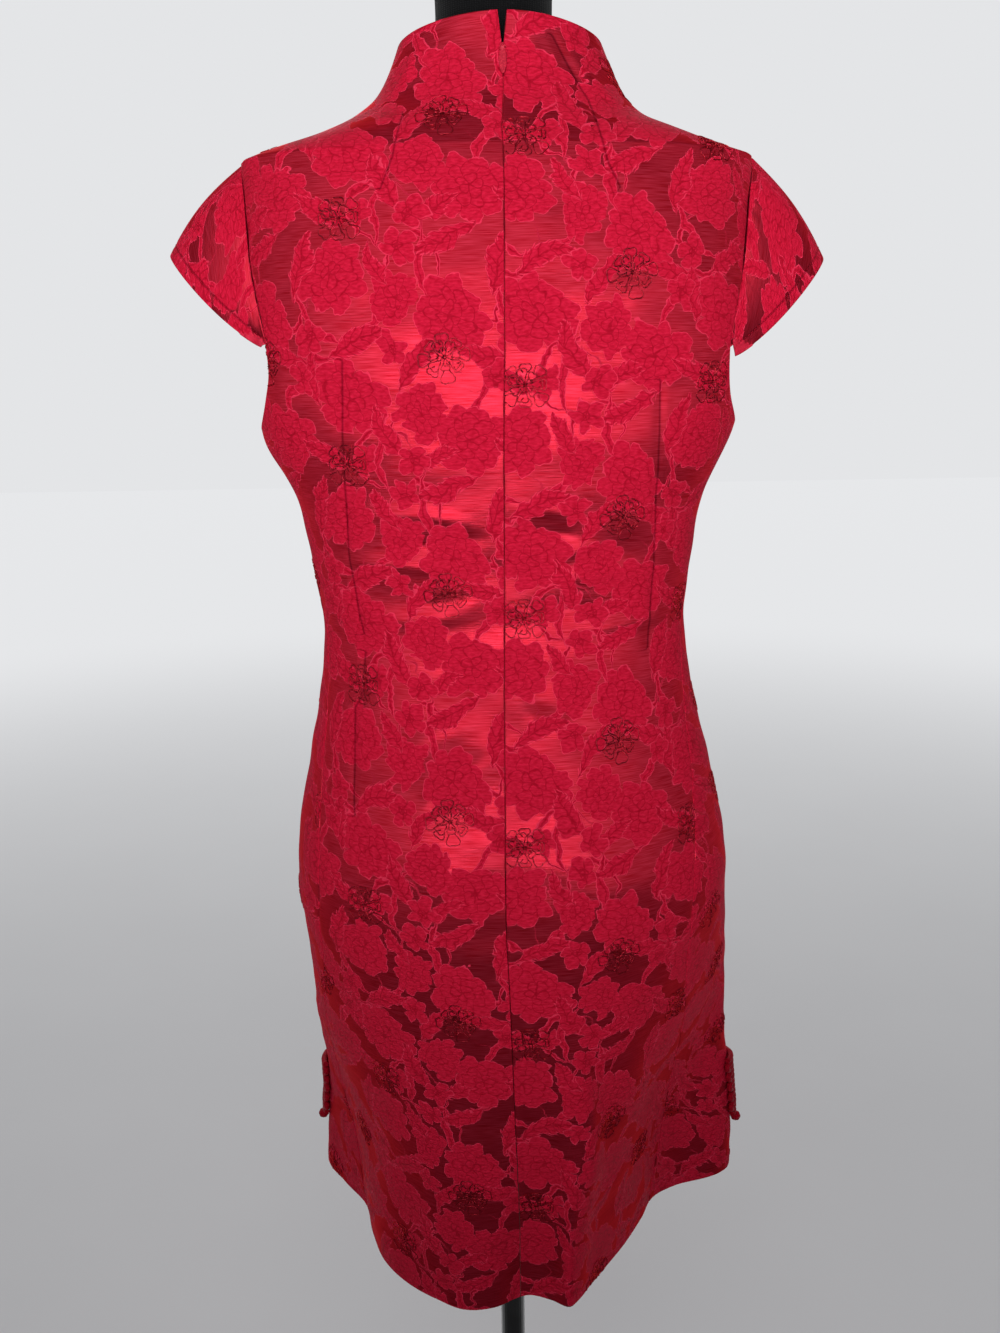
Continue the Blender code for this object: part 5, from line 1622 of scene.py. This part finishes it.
# The photograph's camera: its lens and picture height in pixels, its place, and how it is pitched and rolled
LENS_PIXELS, PICTURE_PIXELS = 1200.0, 1333.0
SENSOR_MM = 36.0
CAMERA_PLACE = (0.0027, 0.945, 1.225)
CAMERA_PITCH_DEG = 14.0
CAMERA_ROLL_DEG = 0.9


def camera():
    """The photograph's camera, level with the shoulder blades behind the dress and looking a little down."""
    data = bpy.data.cameras.new("camera")
    data.sensor_fit = "VERTICAL"
    data.sensor_height = SENSOR_MM
    data.lens = SENSOR_MM * LENS_PIXELS / PICTURE_PIXELS
    obj = placed("camera", data)
    pitch, roll = math.radians(CAMERA_PITCH_DEG), math.radians(CAMERA_ROLL_DEG)
    look = Vector((0.0, -math.cos(pitch), -math.sin(pitch)))
    right = Vector((-1.0, 0.0, 0.0))
    up = right.cross(look)
    turn = Matrix.Rotation(roll, 3, look)
    obj.matrix_world = Matrix((turn @ right, turn @ up, -look)).transposed().to_4x4()
    obj.matrix_world.translation = CAMERA_PLACE
    bpy.context.scene.camera = obj


def area_light(name, place, target, width, height, watts, spread_deg):
    data = bpy.data.lights.new(name, "AREA")
    data.shape = "RECTANGLE"
    data.size, data.size_y = width, height
    data.energy = watts
    data.spread = math.radians(spread_deg)
    obj = placed(name, data)
    obj.location = place
    obj.rotation_euler = (Vector(target) - Vector(place)).to_track_quat("-Z", "Y").to_euler()


# The room: from where to where its light fades along Y, and how strong it is at each end
ROOM_LIGHT = (-0.45, 0.15, 0.80, 0.10)
ROOM_COLOUR = (0.97, 0.98, 1.0)
FLOOR_FADE = (0.9, 5.0)
FLOOR_REACH = 12.0

# The light panels: place, what each faces, width, height, watts and spread
Light = namedtuple("Light", "name place target width height watts spread_deg")
LIGHTS = named(Light, (
    ("high_window", (0.20, 1.35, 2.40), (0.02, 0.15, 1.60), 2.4, 1.3, 4.6, 76.0),
    ("camera_side", (0.05, 1.90, 1.15), (0.0, 0.1, 1.45), 2.3, 1.15, 9.6, 52.0),
    ("front_soft", (0.3, -2.6, 2.6), (0.0, -0.3, 0.6), 1.8, 1.4, 19.0, 180.0),
))


def studio():
    """A pale room and floor, with soft panels high and low behind the camera and one before the dress."""
    world = bpy.data.worlds.new("pale_room")
    world.use_nodes = True
    background = world.node_tree.nodes["Background"]
    place = world.node_tree.nodes.new("ShaderNodeTexCoord").outputs["Generated"]
    axes = world.node_tree.nodes.new("ShaderNodeSeparateXYZ")
    world.node_tree.links.new(place, axes.inputs[0])
    fade = world.node_tree.nodes.new("ShaderNodeMapRange")
    fade.interpolation_type = "SMOOTHSTEP"
    world.node_tree.links.new(axes.outputs["Y"], fade.inputs["Value"])
    for socket, value in zip(("From Min", "From Max", "To Min", "To Max"), ROOM_LIGHT):
        fade.inputs[socket].default_value = value
    background.inputs["Color"].default_value = (*ROOM_COLOUR, 1.0)
    world.node_tree.links.new(fade.outputs["Result"], background.inputs["Strength"])
    bpy.context.scene.world = world
    for light in LIGHTS:
        area_light(*light)
    mesh = bpy.data.meshes.new("floor")
    corners = [(x * FLOOR_REACH, y * FLOOR_REACH, 0) for x, y in ((-1, -1), (1, -1), (1, 1), (-1, 1))]
    mesh.from_pydata(corners, [], [(0, 1, 2, 3)])
    mesh.materials.append(floor_material())
    floor = placed("floor", mesh)
    floor.visible_glossy = False  # the satin mirrors the dim room, as in the photograph
    bpy.context.scene.view_settings.view_transform = "Standard"
    bpy.context.scene.view_settings.look = "None"


def finish_cad(node, finish):
    """Gives a CAD node that stays its full material."""
    obj = next(o for o in bpy.data.objects if o.type == "MESH" and o.name.split(".")[0] == node)
    obj.data.materials.clear()
    obj.data.materials.append(finish)


def dress():
    """Every piece of the dress, with what is sewn on it."""
    back = cloth_back("damask_reverse")
    red_thread = thread("embroidery_thread", (0.44, 0.024, 0.042), 0.88, 0.30)
    sewing = thread("sewing_thread", (0.40, 0.006, 0.022), 0.0, 0.55)
    cord = covered_cord("covered_cord")
    layouts = {"front": (0.021, 0.062), "left": (0.0, 0.0), "right": (0.014, 0.053)}
    finishes = {word: (damask(f"damask_{word}", offset), back) for word, offset in layouts.items()}

    front = panel("front_panel_damask", front_span, FRONT_COLUMNS, 1, finishes["front"])
    with_front = [embroidery("front_embroidery", front, layouts["front"], red_thread)]
    for word, side in (("left", 1), ("right", -1)):
        with_front += frog(word, front.outer, side, cord)
    declare(front, "front_panel", with_front)
    for word, side in (("left", 1), ("right", -1)):
        name = f"back_panel_{word}"
        piece = panel(f"{name}_damask", back_span(side), BACK_COLUMNS, side, finishes[word])
        sewn_on = embroidery(f"{word}_embroidery", piece, layouts[word], red_thread)
        declare(piece, name, [sewn_on])
        name = f"cap_sleeve_{word}"
        piece, from_hem = sleeve(f"{name}_damask", side, finishes[word])
        declare(piece, name, [sleeve_stitches(f"{name}_stitches", piece, from_hem, sewing)])


def declare(piece, node, with_pieces):
    """One cut of cloth stands for its node, hangs on the form, and carries what is sewn on it."""
    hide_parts(node)
    for obj in (piece.obj, *with_pieces):
        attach(obj, DRESS)


def fastening():
    """The zip's coil, tapes, slider and pull tab."""
    coil = zip_coil(zip_material("zip_coil_red", (0.26, 0.004, 0.014), 0.38, 0.05))
    tape = tape_material("zip_tape_red")
    tapes = [zip_tape(f"zip_tape_{word}", side, tape) for word, side in (("left", 1), ("right", -1))]
    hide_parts("zip_chain")
    enamel = zip_material("zip_enamel_red", (0.30, 0.004, 0.018), 0.34, 0.06)
    for obj in (coil, *tapes, zip_slider(enamel)):
        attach(obj, DRESS)
    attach(zip_pull(enamel), PULL)


def stand():
    torso = dress_form(jersey("black_jersey"))
    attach(torso, DRESS)
    steel = painted_steel("black_powder_coat")
    for node in ("stand_pole", "stand_base"):
        finish_cad(node, steel)


camera()
studio()
stand()
dress()
fastening()
